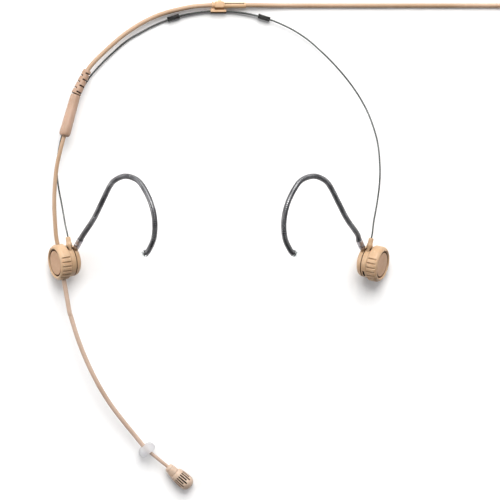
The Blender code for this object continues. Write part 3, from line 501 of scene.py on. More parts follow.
def block(bm, size, middle, bevel, segments=3):
    """Box with rounded edges, added to a bmesh."""
    made = bmesh.ops.create_cube(bm, size=1.0)["verts"]
    bmesh.ops.scale(bm, vec=size, verts=made)
    bmesh.ops.translate(bm, vec=middle, verts=made)
    edges = list({edge for vert in made for edge in vert.link_edges})
    bmesh.ops.bevel(bm, geom=edges, offset=bevel, segments=segments, profile=0.5,
                    affect="EDGES", material=-1)


def sink(vert, radius, depth):
    """Scale a point towards the Z axis, so that one at the radius moves in by the depth."""
    vert.co.x *= (radius - depth) / radius
    vert.co.y *= (radius - depth) / radius


def round_edges(item, width, degrees):
    """Bevel a piece's sharper edges."""
    rounding = item.modifiers.new("edges", "BEVEL")
    rounding.width = width * MM
    rounding.segments = 2
    rounding.limit_method = "ANGLE"
    rounding.angle_limit = math.radians(degrees)


# Hubs

def hub_matrix(side):
    toe = math.radians(side["toe"])
    tilt = math.radians(side["tilt"])
    sign = side["sign"]
    outward = Vector((sign * math.cos(toe) * math.cos(tilt),
                      -math.sin(toe) * math.cos(tilt), math.sin(tilt)))
    rear = Vector((sign * math.sin(toe), math.cos(toe), 0.0))
    turn = Matrix((rear.cross(outward), rear, outward)).transposed().to_4x4()
    return Matrix.Translation(Vector(side["centre"])) @ turn


def hub_point(side, up, rear, out):
    """Point in a hub's own frame, in millimetres."""
    return Vector((-side["sign"] * up, rear, out))


def front_angle(side, place):
    """Degrees round the hub, from the side that faces up towards the front of the head."""
    return math.degrees(math.atan2(-place.y, -side["sign"] * place.x))


def hub_body(side, mats):
    """Middle layer of a hub: a plain ring with a tapered ferrule for the band wire."""
    bm = bmesh.new()
    outline = soften([
        (3.45, -0.1, 0.0), (3.45, -2.4, 0.0), (HUB_RADIUS, -2.4, 0.18), (HUB_RADIUS, -0.1, 0.18),
        (5.3, -0.1, 0.0), (5.3, -0.55, 0.0), (3.9, -0.55, 0.0), (3.9, -0.1, 0.0)])
    slot_low = -1.7
    slot_high = -0.95
    wall = outline.index(max(outline, key=lambda point: point.x))
    while outline[wall].y < slot_low:
        wall += 1
    outline[wall:wall] = [Vector((HUB_RADIUS, slot_low)), Vector((HUB_RADIUS, slot_high))]
    spin_outline(bm, outline, 144)
    if side is RIGHT:
        cut_key_slot(bm, side, slot_low, slot_high)
    start = hub_point(side, FERRULE_UP, 2.4, FERRULE_OUT)
    tip = hub_point(side, FERRULE_UP, FERRULE_TIP, FERRULE_OUT)
    length = (tip - start).length
    bore = WIRE_LOOK + 0.12
    spin_outline(bm, soften([
        (0.0, 0.0, 0.0), (0.3, 0.0, 0.0), (0.7, 2.2, 0.7), (1.16, 3.5, 0.8), (1.18, 4.2, 0.3),
        (1.0, 4.8, 0.35), (0.98, length - 0.35, 0.15), (0.86, length, 0.12), (bore, length, 0.05),
        (bore, length - 0.5, 0.0), (0.0, length - 0.5, 0.0)]), 40, along(start, tip))
    item = new_piece("smooth_hub_body_" + side["name"], bm, mats["plastic"], hub_matrix(side))
    # Second slot: the dark painted shade for the key slot's faces.
    item.data.materials.append(mats["hollow"])
    return fit(item, side["name"] + "_side", "tan_plastic", "hub_body_" + side["name"])


def cut_key_slot(bm, side, low, high):
    """Sink the narrow key slot into part of the hub's wall and give its faces the dark painted shade."""
    middle_degrees = 57.0
    reach_degrees = 15.0
    depth = 0.9
    faces = []
    for face in bm.faces:
        place = face.calc_center_median()
        on_wall = math.hypot(place.x, place.y) > HUB_RADIUS - 0.05
        in_reach = abs(front_angle(side, place) - middle_degrees) < reach_degrees
        if on_wall and in_reach and low < place.z < high:
            faces.append(face)
    made = bmesh.ops.extrude_face_region(bm, geom=faces)["geom"]
    bmesh.ops.delete(bm, geom=faces, context="FACES_ONLY")
    for vert in [part for part in made if isinstance(part, bmesh.types.BMVert)]:
        sink(vert, math.hypot(vert.co.x, vert.co.y), depth)
        for face in vert.link_faces:
            face.material_index = 1


def ribbed_ring(name, side, mats, body):
    """Outer layer of a hub, with grooves round its front half and a recess for the disc."""
    outer = soften([
        (3.4, -2.0, 0.0), (3.4, 0.15, 0.0), (RING_RADIUS, 0.15, 0.25), (RING_RADIUS, 3.3, 0.3),
        (RING_RADIUS - 0.55, 4.15, 0.3), (6.05, HUB_HALF, 0.12), (5.75, HUB_HALF, 0.08),
        (5.35, 3.95, 0.06), (5.3, 3.0, 0.0), (4.5, 3.0, 0.0), (4.5, 3.6, 0.0),
        (1.1, 3.6, 0.0), (1.1, 3.1, 0.0), (0.0, 3.1, 0.0), (0.0, 0.4, 0.0), (0.85, 0.4, 0.0),
        (0.85, -2.0, 0.0)], steps=6)
    wall = max(index for index, point in enumerate(outer)
               if point.x > RING_RADIUS - 0.001 and point.y < 1.0)
    outer[wall + 1:wall + 1] = rows(RING_RADIUS, 0.5, 2.9, 0.12)
    bm = bmesh.new()
    spin_outline(bm, outer, 540)
    turns = [FIRST_GROOVE + index * RIB_STEP for index in range(GROOVE_COUNT)]
    if side is LEFT:
        turns = [turn for turn in turns if abs(turn - 90.0) > 0.8 * RIB_STEP]
    for vert in bm.verts:
        radius = math.hypot(vert.co.x, vert.co.y)
        if radius > 6.2 and 0.1 < vert.co.z < 4.3:
            carve_ring(vert, radius, side, turns)
    item = new_piece("smooth_" + name, bm, mats["plastic"], hub_matrix(side), 55.0)
    return fit(item, body, "tan_plastic", name)


def carve_ring(vert, radius, side, turns):
    """Lower a point of the ring's edge where a grip groove or the boom's mouth is."""
    groove_half = 0.34
    groove_depth = 0.42
    mouth_radius = 1.35
    mouth_depth = 0.6
    angle = front_angle(side, vert.co)
    depth = 0.0
    for turn in turns:
        distance = abs((angle - turn + 180.0) % 360.0 - 180.0)
        across = math.radians(distance) * RING_RADIUS
        if across < groove_half:
            end = min(1.0, max(0.0, (vert.co.z - 0.3) / 0.25))
            end *= min(1.0, max(0.0, (4.0 - vert.co.z) / 0.35))
            slope = math.cos(0.5 * math.pi * across / groove_half) ** 0.7
            depth = max(depth, groove_depth * end * slope)
    if side is LEFT:
        from_axis = math.hypot(vert.co.x, vert.co.z - BOOM_LEVEL)
        if from_axis < mouth_radius:
            depth = max(depth, mouth_depth * min(1.0, (mouth_radius - from_axis) / 0.2))
    if depth > 0.0:
        sink(vert, radius, depth)


def face_disc(side, mats, body):
    item = turned("smooth_face_disc_" + side["name"], [
        (0.0, 3.2, 0.0), (1.0, 3.2, 0.0), (1.0, 3.7, 0.0), (4.86, 3.7, 0.05), (4.92, 3.98, 0.1),
        (4.72, 4.12, 0.1), (3.2, 4.15, 0.0), (0.0, 4.17, 0.0)], mats["disc"], hub_matrix(side), 96)
    return fit(item, body, "tan_disc", "face_disc_" + side["name"])


def hook_carrier(side, mats, body):
    """Inner layer of a hub, with the boss that holds the ear hook."""
    bm = bmesh.new()
    spin_outline(bm, soften([
        (0.9, -2.65, 0.0), (0.9, -3.5, 0.0), (1.8, -3.5, 0.0), (1.8, CARRIER_FACE, 0.1),
        (HUB_RADIUS - 1.2, CARRIER_FACE, 0.7), (HUB_RADIUS - 0.15, CARRIER_FACE + 1.0, 0.8),
        (HUB_RADIUS, -2.65, 0.14)], steps=8), 120)
    start = hub_point(side, *HOOK_SEAT)
    end = start + hub_point(side, *HOOK_AIM).normalized() * BOSS_LENGTH
    spin_outline(bm, soften([
        (0.0, 0.0, 0.0), (1.05, 0.0, 0.0), (1.0, 0.55 * BOSS_LENGTH, 0.3), (0.84, 0.7 * BOSS_LENGTH, 0.3),
        (0.82, BOSS_LENGTH, 0.1), (0.0, BOSS_LENGTH, 0.0)]), 32, along(start, end))
    item = new_piece("smooth_hook_carrier_" + side["name"], bm, mats["plastic"], hub_matrix(side))
    return fit(item, body, "tan_plastic", "hook_carrier_" + side["name"])


def pivot_screw(side, mats, body):
    """Screw through the hub, with a round recess in its head."""
    item = turned("smooth_pivot_screw_" + side["name"], [
        (0.0, -3.95, 0.0), (0.55, -3.95, 0.0), (0.55, -4.38, 0.0), (1.5, -4.38, 0.12),
        (1.65, -4.2, 0.1), (1.65, -3.62, 0.0), (0.78, -3.62, 0.0), (0.78, 0.3, 0.0),
        (0.0, 0.3, 0.0)], mats["ferrule"], hub_matrix(side), 6 * 12)
    return fit(item, body, "spring_steel", "pivot_screw_" + side["name"])


# Ear hooks

def hook_points(side):
    matrix = hub_matrix(side)
    aim = hub_point(side, *HOOK_AIM).normalized()
    start = matrix @ (hub_point(side, *HOOK_SEAT) + aim * BOSS_LENGTH)
    heading = (matrix.to_3x3() @ aim).normalized()
    route = [Vector(point) for point in HOOK_ROUTE]
    if side is RIGHT:
        route = [Vector((HOOK_MIRROR_X - point.x, point.y, point.z)) for point in route]
    return [start + heading * GAP, start + heading * 3.3] + route


def ear_hook(side, mats, body):
    """Core with a fine wire winding just standing out of it, a pinned sleeve and a clear bead."""
    points = hook_points(side)
    name = side["name"]
    core_radius = 1.03
    winding_radius = 0.87
    wire_radius = 0.21
    pitch = 0.4
    core = rod("hook_core_" + name, smooth_path(points, 0.8), core_radius, mats["wound"], 5)
    fit(core, body, "wound_steel")
    turns = wound_path(points, winding_radius, pitch)
    winding = rod("hook_winding_" + name, turns, wire_radius, mats["wound"], 1)
    fit(winding, body, "wound_steel", "ear_hook_" + name)
    start = points[0]
    sleeve = turned("smooth_hook_sleeve_" + name, [
        (1.12, 0.0, 0.0), (1.12, 3.0, 0.0), (1.2, 3.0, 0.04), (1.26, 2.85, 0.08), (1.28, 0.4, 0.2),
        (1.12, 0.25, 0.1), (1.12, 0.0, 0.1), (1.28, -0.15, 0.1), (1.28, -1.9, 0.1), (1.1, -2.1, 0.08),
        (0.86, -2.1, 0.0), (0.86, 0.0, 0.0)],
        mats["ferrule"], along(start, points[1]), 48)
    fit(sleeve, body, "spring_steel", "hook_sleeve_" + name)
    across = along(start, points[1]) @ Matrix.Translation((0.0, 0.0, -1.0))
    pin = turned("hook_pin_" + name, [
        (0.0, -1.34, 0.0), (0.42, -1.34, 0.1), (0.42, 1.34, 0.1), (0.0, 1.34, 0.0)],
        mats["pin"], across @ Matrix.Rotation(math.radians(-65.0), 4, "X"), 24)
    fit(pin, body, "spring_steel")
    end = points[-1]
    back = smooth_path(points, 0.8)[-2]
    radius = 1.35
    dome = []
    for index in range(9):
        angle = 0.5 * math.pi * index / 9
        dome.append((radius * math.cos(angle), 0.5 + radius * math.sin(angle), 0.0))
    bead = turned("smooth_hook_tip_" + name, [
        (0.0, 0.15, 0.0), (1.14, 0.15, 0.0), (1.14, -1.0, 0.0), (1.25, -1.0, 0.08),
        (radius, -0.7, 0.15)] + dome + [(0.0, 0.5 + radius, 0.0)],
        mats["clear"], along(end, end + (end - back)), 48)
    fit(bead, body, "clear_silicone", "hook_tip_" + name)


def wound_path(points, radius, pitch):
    """Helix of a wire wound round a smooth path."""
    per_turn = 12
    path = smooth_path(points, pitch / per_turn)
    side = Vector((0, 0, 1)).cross(path[1] - path[0]).normalized()
    helix = []
    for index in range(len(path) - 1):
        heading = (path[index + 1] - path[index]).normalized()
        side = (side - heading * side.dot(heading)).normalized()
        up = heading.cross(side)
        angle = 2 * math.pi * index / per_turn
        helix.append(path[index] + (side * math.cos(angle) + up * math.sin(angle)) * radius)
    return helix


# Neckband

def back_arc(start_angle, end_angle, height, steps=12):
    points = []
    for index in range(steps + 1):
        angle = math.radians(start_angle + (end_angle - start_angle) * index / steps)
        points.append(BACK_CENTRE + Vector((BACK_RADIUS * math.sin(angle),
                                            BACK_RADIUS * math.cos(angle), height)))
    return points


def band_wire(side, mats):
    matrix = hub_matrix(side)
    start = [matrix @ hub_point(side, FERRULE_UP, rear, FERRULE_OUT)
             for rear in (2.6, FERRULE_TIP, FERRULE_TIP + 1.5)]
    if side is LEFT:
        route = LEFT_WIRE_ROUTE
        arc = back_arc(-ARC_END_ANGLE, WIRE_END_ANGLE, LOW_WIRE)
    else:
        route = RIGHT_WIRE_ROUTE
        arc = back_arc(ARC_END_ANGLE, -WIRE_END_ANGLE, HIGH_WIRE)
    points = start + [Vector(point) for point in route] + arc
    item = rod("smooth_band_wire_" + side["name"], smooth_path(points, 1.2), WIRE_LOOK,
               mats["wire"], 4)
    return fit(item, side["name"] + "_side", "spring_steel", "band_wire_" + side["name"])


def band_sleeve(name, angle, body, mats):
    """Black sleeve: a wide and a narrow tube side by side, each with a lip at its ends."""
    turn = math.radians(angle)
    middle = BACK_CENTRE + Vector((BACK_RADIUS * math.sin(turn), BACK_RADIUS * math.cos(turn),
                                   (LOW_WIRE + HIGH_WIRE) / 2))
    place = Matrix.Translation(middle) @ Matrix.Rotation(-turn, 4, "Z")
    bm = bmesh.new()
    half = 2.45
    lying = Matrix.Rotation(math.pi / 2, 4, "Y")
    for offset, radius, height in ((-0.36, 0.62, 1.38), (0.6, 0.38, 1.2)):
        tube = soften([
            (0.0, -half, 0.0), (radius, -half, 0.2), (radius, -half + 0.5, 0.1),
            (radius - 0.06, -half + 0.65, 0.1), (radius - 0.06, half - 0.65, 0.1),
            (radius, half - 0.5, 0.1), (radius, half, 0.2), (0.0, half, 0.0)])
        shape = Matrix.Translation((0, offset, 0)) @ Matrix.Diagonal((1, 1, height / radius, 1))
        spin_outline(bm, tube, 40, shape @ lying)
    block(bm, (4.3, 1.0, 1.9), (0.0, 0.15, 0.0), 0.2)
    item = new_piece("smooth_" + name, bm, mats["rubber"], place)
    return fit(item, body, "black_rubber", name)


def clip(mats):
    """Cable clip: block, nub and keeper, with the flanged cable guide through it."""
    bm = bmesh.new()
    body = bmesh.ops.create_cube(bm, size=1.0)["verts"]
    bmesh.ops.scale(bm, vec=(3.6, 3.3, 3.5), verts=body)
    bmesh.ops.translate(bm, vec=(0.7, 95.75, 1.75), verts=body)
    front_top = [vert for vert in body if vert.co.y < 95.0 and vert.co.z > 1.0]
    bmesh.ops.translate(bm, vec=(0.0, 0.75, 0.0), verts=front_top)
    edges = list({edge for vert in body for edge in vert.link_edges})
    bmesh.ops.bevel(bm, geom=edges, offset=0.38, segments=4, profile=0.5, affect="EDGES",
                    material=-1)
    block(bm, (1.5, 1.2, 1.7), (0.8, 97.35, 1.5), 0.35, 4)
    block(bm, (1.4, 1.3, 2.3), (-2.0, 94.0, 1.3), 0.15, 3)
    block(bm, (6.1, 0.5, 1.1), (0.3, 93.1, 0.56), 0.12, 3)
    # The front lip's faces take the dark painted shade of the side turned away from the light.
    for face in bm.faces:
        if face.calc_center_median().y < 93.36:
            face.material_index = 1
    keeper = bmesh.ops.create_cube(bm, size=1.0)["verts"]
    bmesh.ops.scale(bm, vec=(6.3, 0.85, 3.1), verts=keeper)
    bmesh.ops.translate(bm, vec=(0.3, 93.62, 1.55), verts=keeper)
    ends = [face for face in {face for vert in keeper for face in vert.link_faces}
            if abs(face.calc_center_median().x - 0.3) > 3.0]
    bmesh.ops.inset_individual(bm, faces=ends, thickness=0.16, depth=0.0)
    for face in ends:
        inward = -face.normal * 0.8
        grown = bmesh.ops.extrude_face_region(bm, geom=[face])["geom"]
        moved = [part for part in grown if isinstance(part, bmesh.types.BMVert)]
        bmesh.ops.translate(bm, vec=inward, verts=moved)
        bmesh.ops.delete(bm, geom=[face], context="FACES_ONLY")
    item = new_piece("smooth_clip_body", bm, mats["clip"])
    item.data.materials.append(mats["hollow"])
    round_edges(item, 0.08, 50.0)
    fit(item, "left_side", "tan_plastic", "clip_body")

    start = Vector((-2.3, CLIP_AXIS.y, CLIP_AXIS.z))
    length = 13.6
    bore = 0.98
    outline = soften([(bore, 0.0, 0.0), (1.5, 0.0, 0.1), (1.5, 0.6, 0.1),
                      (GUIDE_RADIUS, 0.62, 0.1)])
    outline += rows(GUIDE_RADIUS, 1.0, length - 0.5, 0.2)
    outline += [Vector((GUIDE_RADIUS, length - 0.2)), Vector((1.1, length)),
                Vector((bore, length))]
    bm = bmesh.new()
    spin_outline(bm, outline, 120)
    sunk = {vert for vert in bm.verts if carve_guide(vert, length)}
    # The slit and its end holes take the dark painted shade.
    for face in bm.faces:
        if all(vert in sunk for vert in face.verts):
            face.material_index = 1
    guide = new_piece("smooth_clip_cable_guide", bm, mats["clip"],
                      along(start, start + Vector((1, 0, 0))), 60.0)
    guide.data.materials.append(mats["hollow"])
    fit(guide, "left_side", "tan_plastic", "clip_cable_guide")


def carve_guide(vert, length):
    """Sink the guide's lengthwise slit, with a round hole at each end."""
    radius = math.hypot(vert.co.x, vert.co.y)
    if radius < 1.05 or not 4.0 < vert.co.z < length - 0.3:
        return False
    slit_turn = math.radians(56.0)
    slit_half = 0.26
    hole_radius = 0.36
    across = (math.atan2(vert.co.y, vert.co.x) - slit_turn) * GUIDE_RADIUS
    in_slit = abs(across) < slit_half and 5.0 < vert.co.z < length - 0.7
    in_hole = any(math.hypot(across, vert.co.z - hole) < hole_radius
                  for hole in (5.3, length - 1.0))
    if not in_slit and not in_hole:
        return False
    sink(vert, radius, 0.1)
    return True


# Cables

def splice(mats):
    """Barrel and slotted relief over the joint of the cables."""
    length = (BARREL_TOP - BARREL_LOW).length
    barrel = turned("smooth_splice_barrel", [
        (1.05, 0.0, 0.0), (1.4, 0.0, 0.3), (2.05, 0.35, 0.5), (2.24, 1.3, 0.5),
        (1.98, length - 0.5, 0.3), (1.8, length, 0.15), (1.05, length, 0.0),
        (1.05, length - 2.0, 0.0), (1.5, length - 2.0, 0.0), (1.5, 2.0, 0.0), (1.05, 2.0, 0.0)],
        mats["barrel"], along(BARREL_LOW, BARREL_TOP), 80)
    fit(barrel, "left_side", "tan_plastic", "splice_barrel")

    start = BARREL_TOP + (BARREL_TOP - BARREL_LOW).normalized() * GAP
    length = (RELIEF_TOP - start).length
    slots = [(0.9 + index * 1.375, -1 if index % 2 == 0 else 1) for index in range(7)]
    half = 0.24
    floor = 1.12
    outline = [Vector((1.05, 0.0)), Vector((1.9, 0.0)), Vector((2.0, 0.12))]
    for height, _ in slots:
        for offset in (-half - 0.05, -half, half, half + 0.05):
            share = (height + offset) / length
            outline.append(Vector((2.0 - 0.35 * share, height + offset)))
    outline += [Vector((1.65, length - 0.25)), Vector((1.55, length - 0.06)),
                Vector((1.4, length)), Vector((1.05, length))]
    bm = bmesh.new()
    spin_outline(bm, outline, 72)
    for vert in bm.verts:
        radius = math.hypot(vert.co.x, vert.co.y)
        for height, sign in slots:
            reach = -0.05 if sign < 0 else 0.7
            inside = abs(vert.co.z - height) < half + 0.01 and sign * vert.co.x > reach
            if inside and radius > 1.2:
                sink(vert, radius, radius - floor)
                break
    relief = new_piece("smooth_strain_relief", bm, mats["barrel"], along(start, RELIEF_TOP))
    fit(relief, "left_side", "tan_plastic", "strain_relief")


def fixed_cables(mats):
    """Cable from the boom's hub to the barrel, and from the barrel to the clip."""
    matrix = hub_matrix(LEFT)
    mouth = [matrix @ hub_point(LEFT, 0, rear, BOOM_LEVEL) for rear in (5.5, 7.6, 10.5)]
    axis = (BARREL_TOP - BARREL_LOW).normalized()
    points = mouth + [Vector(point) for point in BOOM_CABLE_ROUTE]
    points += [BARREL_LOW, BARREL_LOW + axis * 4.5]
    boom_cable = rod("smooth_boom_cable", smooth_path(points, 0.9), BOOM_CABLE_RADIUS, mats["cable"])
    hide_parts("boom_cable")
    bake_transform(boom_cable)

    points = [BARREL_TOP - axis * 4.5, BARREL_TOP, BARREL_TOP.lerp(RELIEF_TOP, 0.5), RELIEF_TOP]
    points += [Vector(point) for point in NECK_CABLE_ROUTE]
    points += [Vector((x, CLIP_AXIS.y, CLIP_AXIS.z)) for x in (-2.3, 4.0, 11.3)]
    neck = rod("smooth_neck_cable", smooth_path(points, 0.9), CORD_RADIUS, mats["cable"])
    fit(neck, "left_side", "tan_cable", "neck_cable")


def coil_points():
    """Spiral in and out by turns, layer on layer, clockwise from the coil's back."""
    per_turn = 20
    outer = COIL_MEAN + 4.5
    inner = COIL_MEAN - 4.5
    layers = [(outer, inner, 5.0), (inner, outer, 5.0), (outer, inner, 5.0), (inner, 14.0, 4.5)]
    height = COIL_BASE + CORD_RADIUS
    angle = math.pi / 2
    points = []
    for index, (start, end, turns) in enumerate(layers):
        count = round(turns * per_turn)
        for step in range(count):
            radius = start + (end - start) * step / count
            points.append((angle, radius, height))
            angle -= 2 * math.pi / per_turn
        if index < len(layers) - 1:
            climb = per_turn // 4
            for step in range(climb):
                points.append((angle, end, height + 2 * CORD_RADIUS * step / climb))
                angle -= 2 * math.pi / per_turn
            height += 2 * CORD_RADIUS
        else:
            points.append((angle, end, height))
    return [COIL_CENTRE + Vector((radius * math.cos(turn), radius * math.sin(turn), level))
            for turn, radius, level in points]


def cord(mats, riders):
    """Free cord from the clip along the table, into its coil and on to the plug."""
    coil = coil_points()
    lead = smooth_path(CORD_LEAD_ROUTE, 6.0)
    tail = smooth_path([coil[-1]] + CORD_TAIL_ROUTE, 3.2)
    points = lead + coil + tail[1:]
    curve = curve_through("cord", points, CORD_RADIUS, 3, "NURBS")
    curve.resolution_u = 3
    spline = curve.splines[0]
    spline.order_u = 4
    spline.use_endpoint_u = True
    curve.materials.append(mats["cable"])
    item = bpy.data.objects.new("cord", curve)
    bpy.context.collection.objects.link(item)
    fit(item, "left_side", "tan_cable", "cord_lead", "cord_coil", "cord_tail")


def cord_tie(mats):
    """Strap round the coil, with rounded edges."""
    half = 6 * CORD_RADIUS + 0.5
    strap = 0.5
    top = COIL_BASE + COIL_LAYERS * 2 * CORD_RADIUS + 0.3
    bm = bmesh.new()
    outer = (half + strap, (top + strap) / 2)
    inner = (half, (top - strap) / 2)
    loops = []
    for wide, tall in (outer, inner):
        for x in (-1.5, 1.5):
            ring = [bm.verts.new((x, y * wide, z * tall))
                    for y, z in ((-1, -1), (1, -1), (1, 1), (-1, 1))]
            loops.append([bm.edges.new((ring[index], ring[(index + 1) % 4])) for index in range(4)])
    for first, second in ((0, 1), (2, 3), (0, 2), (1, 3)):
        bmesh.ops.bridge_loops(bm, edges=loops[first] + loops[second])
    middle = COIL_CENTRE + Vector((0, -COIL_MEAN, (top + strap) / 2))
    bmesh.ops.bevel(bm, geom=list(bm.edges), offset=0.18, segments=3, profile=0.5, affect="EDGES",
                    material=-1)
    item = new_piece("smooth_cord_tie", bm, mats["rubber"], Matrix.Translation(middle))
    return fit(item, "left_side", "black_rubber", "cord_tie")


# Boom and capsule

def boom_points():
    matrix = hub_matrix(LEFT)
    straight = [matrix @ hub_point(LEFT, 0, rear, BOOM_LEVEL) for rear in (0.5, -7.0, -14.0, -21.0)]
    return straight + [Vector(point) for point in BOOM_ROUTE] + [GUARD_PLACE]


def boom(mats):
    points = boom_points()
    tube = rod("smooth_boom_tube", smooth_path(points, 0.9), BOOM_RADIUS, mats["boom"])
    fit(tube, "boom", "tan_cable", "boom_tube")
    axis = (MIC_FRONT - MIC_REAR).normalized()
    front_points = [GUARD_PLACE + (GUARD_PLACE - points[-2]).normalized() * 0.1,
                    GUARD_PLACE.lerp(MIC_REAR, 0.5), MIC_REAR, MIC_REAR + axis * 2.5]
    front = rod("smooth_boom_front", smooth_path(front_points, 0.7), FRONT_LOOK, mats["boom"])
    fit(front, "boom", "tan_cable", "boom_front")

    aim = (GUARD_PLACE - points[-3]).normalized()
    start = GUARD_PLACE - aim * 1.9
    guard = turned("smooth_sweat_guard", [
        (1.25, 0.0, 0.15), (1.9, 0.0, 0.3), (3.1, 0.8, 0.4), (3.5, 1.8, 0.5), (3.5, 3.3, 0.4),
        (3.0, 3.8, 0.3), (2.2, 3.55, 0.3), (1.25, 3.7, 0.2)], mats["frosted"],
        along(start, GUARD_PLACE), 72)
    fit(guard, "boom_guard", "clear_silicone", "sweat_guard")


def capsule(mats):
    place = along(MIC_REAR, MIC_FRONT)
    length = (MIC_FRONT - MIC_REAR).length
    bm = bmesh.new()
    outline = [Vector((0.0, 3.0)), Vector((0.74, 3.0)), Vector((0.74, 0.0))]
    outline += soften([(0.74, 0.0, 0.0), (1.4, 0.0, 0.25), (1.75, 0.5, 0.35), (1.9, 1.4, 0.3)])[1:]
    outline += rows(1.95, 1.7, 5.2, 0.25) + [Vector((0.0, 5.2))]
    spin_outline(bm, outline, 72)
    for vert in bm.verts:
        flare = min(1.0, max(0.0, (vert.co.z - 0.8) / 3.6))
        if vert.co.x < 0.0 and math.hypot(vert.co.x, vert.co.y) > 1.0:
            vert.co.x *= 1.0 + 0.36 * flare ** 1.3
    body = new_piece("smooth_mic_body", bm, mats["capsule"], place)
    fit(body, "boom", "tan_plastic", "mic_body")

    slot_count = 18
    per_slot = 14
    open_steps = 8
    first = 5.7
    ends = (10.1, 9.1)
    nose = 2.6
    wide = 3.0
    outline = soften([(2.0, 3.9, 0.0), (2.4, 3.9, 0.15), (2.62, 4.4, 0.2), (2.98, 5.5, 0.0)])
    outline = outline[:-1]
    curl = length - nose
    for height in (first, first + 0.14, 7.2, ends[1] - 0.14, ends[1], ends[0] - 0.14, ends[0]):
        radius = min(wide, 2.62 + (height - 4.4) * 0.18)
        if height > curl:
            radius = wide - nose + math.sqrt(nose ** 2 - (height - curl) ** 2)
        outline.append(Vector((radius, height)))
    last_angle = math.asin((ends[0] - curl) / nose)
    for index in range(1, 9):
        angle = last_angle + (0.5 * math.pi - last_angle) * index / 8
        outline.append(Vector((wide - nose + nose * math.cos(angle), curl + nose * math.sin(angle))))
    outline.append(Vector((0.0, length)))
    bm = bmesh.new()
    spin_outline(bm, outline, slot_count * per_slot, closed=False)
    step = 2 * math.pi / (slot_count * per_slot)
    cut = []
    for face in bm.faces:
        middle = face.calc_center_median()
        turn = (math.atan2(middle.y, middle.x) - math.pi / 2 + open_steps * step / 2) % (2 * math.pi)
        index = int(turn // (per_slot * step))
        inside = (turn - index * per_slot * step) / step
        last = ends[index % 2]
        margin = 1 if middle.z < first + 0.14 or middle.z > last - 0.14 else 0
        if first < middle.z < last and margin < inside < open_steps - margin:
            cut.append(face)
    bmesh.ops.delete(bm, geom=cut, context="FACES")
    cap = new_piece("smooth_mic_cap", bm, mats["capsule"], place, 50.0)
    wall = cap.modifiers.new("wall", "SOLIDIFY")
    wall.thickness = 0.45 * MM
    wall.offset = -1.0
    # The wall's inner faces take the dark painted shade, so the slots show dark.
    wall.material_offset = 1
    cap.data.materials.append(mats["hollow"])
    round_edges(cap, 0.05, 60.0)
    fit(cap, "boom", "tan_plastic", "mic_cap")


# Plug

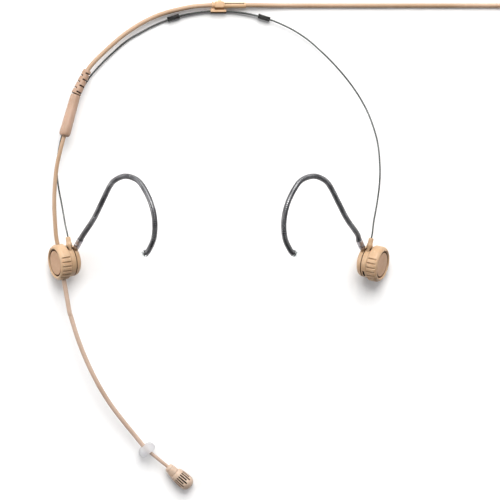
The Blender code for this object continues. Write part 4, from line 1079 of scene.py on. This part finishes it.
def plug(mats):
    place = along(PLUG_REAR, PLUG_REAR + Vector((0, -1, 0)))
    shapes = {
        "plug_boot": ("rubber", "black_rubber", [
            (0.95, 0.3, 0.0), (1.4, 0.3, 0.15), (1.7, 2.0, 0.1), (1.5, 2.3, 0.1), (1.95, 4.0, 0.1),
            (1.75, 4.3, 0.1), (2.25, 6.0, 0.1), (2.05, 6.3, 0.1), (2.9, 11.5, 0.15),
            (0.95, 11.5, 0.0)]),
        "plug_body": ("chrome", "plug_chrome", [
            (1.6, 11.8, 0.0), (3.6, 11.8, 0.2), (4.25, 12.6, 0.3), (4.25, 15.0, 0.08),
            (4.1, 15.2, 0.08), (4.1, 15.5, 0.08), (4.25, 15.7, 0.08), (4.25, 27.0, 0.25),
            (3.0, 27.0, 0.0), (3.0, 30.0, 0.1), (1.6, 30.0, 0.0)]),
        "plug_pin_sleeve": ("chrome", "plug_chrome", [
            (0.0, 22.0, 0.0), (1.5, 22.0, 0.0), (1.5, 30.2, 0.0), (2.6, 30.2, 0.1),
            (2.6, 30.8, 0.1), (1.75, 30.8, 0.0), (1.75, 37.5, 0.05), (0.0, 37.5, 0.0)]),
        "plug_insulator_rear": ("insulator", "black_rubber", [
            (0.0, 37.5, 0.0), (1.72, 37.5, 0.0), (1.72, 38.2, 0.0), (0.0, 38.2, 0.0)]),
        "plug_pin_ring": ("chrome", "plug_chrome", [
            (0.0, 38.2, 0.0), (1.75, 38.2, 0.05), (1.75, 40.8, 0.05), (0.0, 40.8, 0.0)]),
        "plug_insulator_front": ("insulator", "black_rubber", [
            (0.0, 40.8, 0.0), (1.72, 40.8, 0.0), (1.72, 41.5, 0.0), (0.0, 41.5, 0.0)]),
        "plug_pin_tip": ("chrome", "plug_chrome", [
            (0.0, 41.5, 0.0), (1.75, 41.5, 0.05), (1.75, 42.3, 0.2), (1.35, 42.9, 0.25),
            (1.7, 43.6, 0.3), (0.9, 44.8, 0.4), (0.0, 45.2, 0.0)]),
    }
    made = []
    for name, (finish, slot, outline) in shapes.items():
        item = turned("smooth_" + name, outline, mats[finish], place, 64)
        made.append(fit(item, "left_side", slot, name))

    outline = soften([(3.2, 27.3, 0.0), (4.0, 27.3, 0.1), (4.2, 27.6, 0.1)])
    outline += rows(4.2, 27.9, 33.3, 0.9)
    outline += soften([(4.2, 33.6, 0.1), (3.9, 34.0, 0.1), (3.2, 34.0, 0.0)])
    bm = bmesh.new()
    knurls = 48
    spin_outline(bm, outline, knurls * 4)
    for vert in bm.verts:
        if math.hypot(vert.co.x, vert.co.y) > 4.19 and 27.85 < vert.co.z < 33.35:
            turn = math.atan2(vert.co.y, vert.co.x)
            share = 0.02 * (0.5 - 0.5 * math.cos(knurls * turn))
            sink(vert, 1.0, share)
    collar = new_piece("smooth_plug_collar", bm, mats["chrome"], place)
    made.append(fit(collar, "plug_lock", "plug_chrome", "plug_collar"))
    return made


def repaint(mats):
    """Give the CAD pieces that stay as they are their finish."""
    kept = {"friction_washer_left": "ferrule", "friction_washer_right": "ferrule",
            "splice_core": "resin", "mic_element": "mesh"}
    for name, finish in kept.items():
        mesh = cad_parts[name].data
        mesh.materials.clear()
        mesh.materials.append(mats[finish])


def dress():
    camera()
    light()
    table_top()
    mats = finishes()
    tie = cord_tie(mats)
    cord(mats, plug(mats) + [tie])
    for side in (LEFT, RIGHT):
        hook_body = side["name"] + "_ear_hook"
        hub_body(side, mats)
        band_wire(side, mats)
        hook_carrier(side, mats, hook_body)
        ear_hook(side, mats, hook_body)
    ribbed_ring("boom_ring", LEFT, mats, "boom_holder")
    ribbed_ring("knob_ring", RIGHT, mats, "right_knob")
    for side, body in ((LEFT, "boom_holder"), (RIGHT, "right_knob")):
        face_disc(side, mats, body)
        pivot_screw(side, mats, body)
    band_sleeve("band_sleeve_right", SLEEVE_ANGLE, "left_side", mats)
    band_sleeve("band_sleeve_left", -SLEEVE_ANGLE, "right_side", mats)
    clip(mats)
    splice(mats)
    fixed_cables(mats)
    boom(mats)
    capsule(mats)
    repaint(mats)


dress()
bpy.context.view_layer.update()
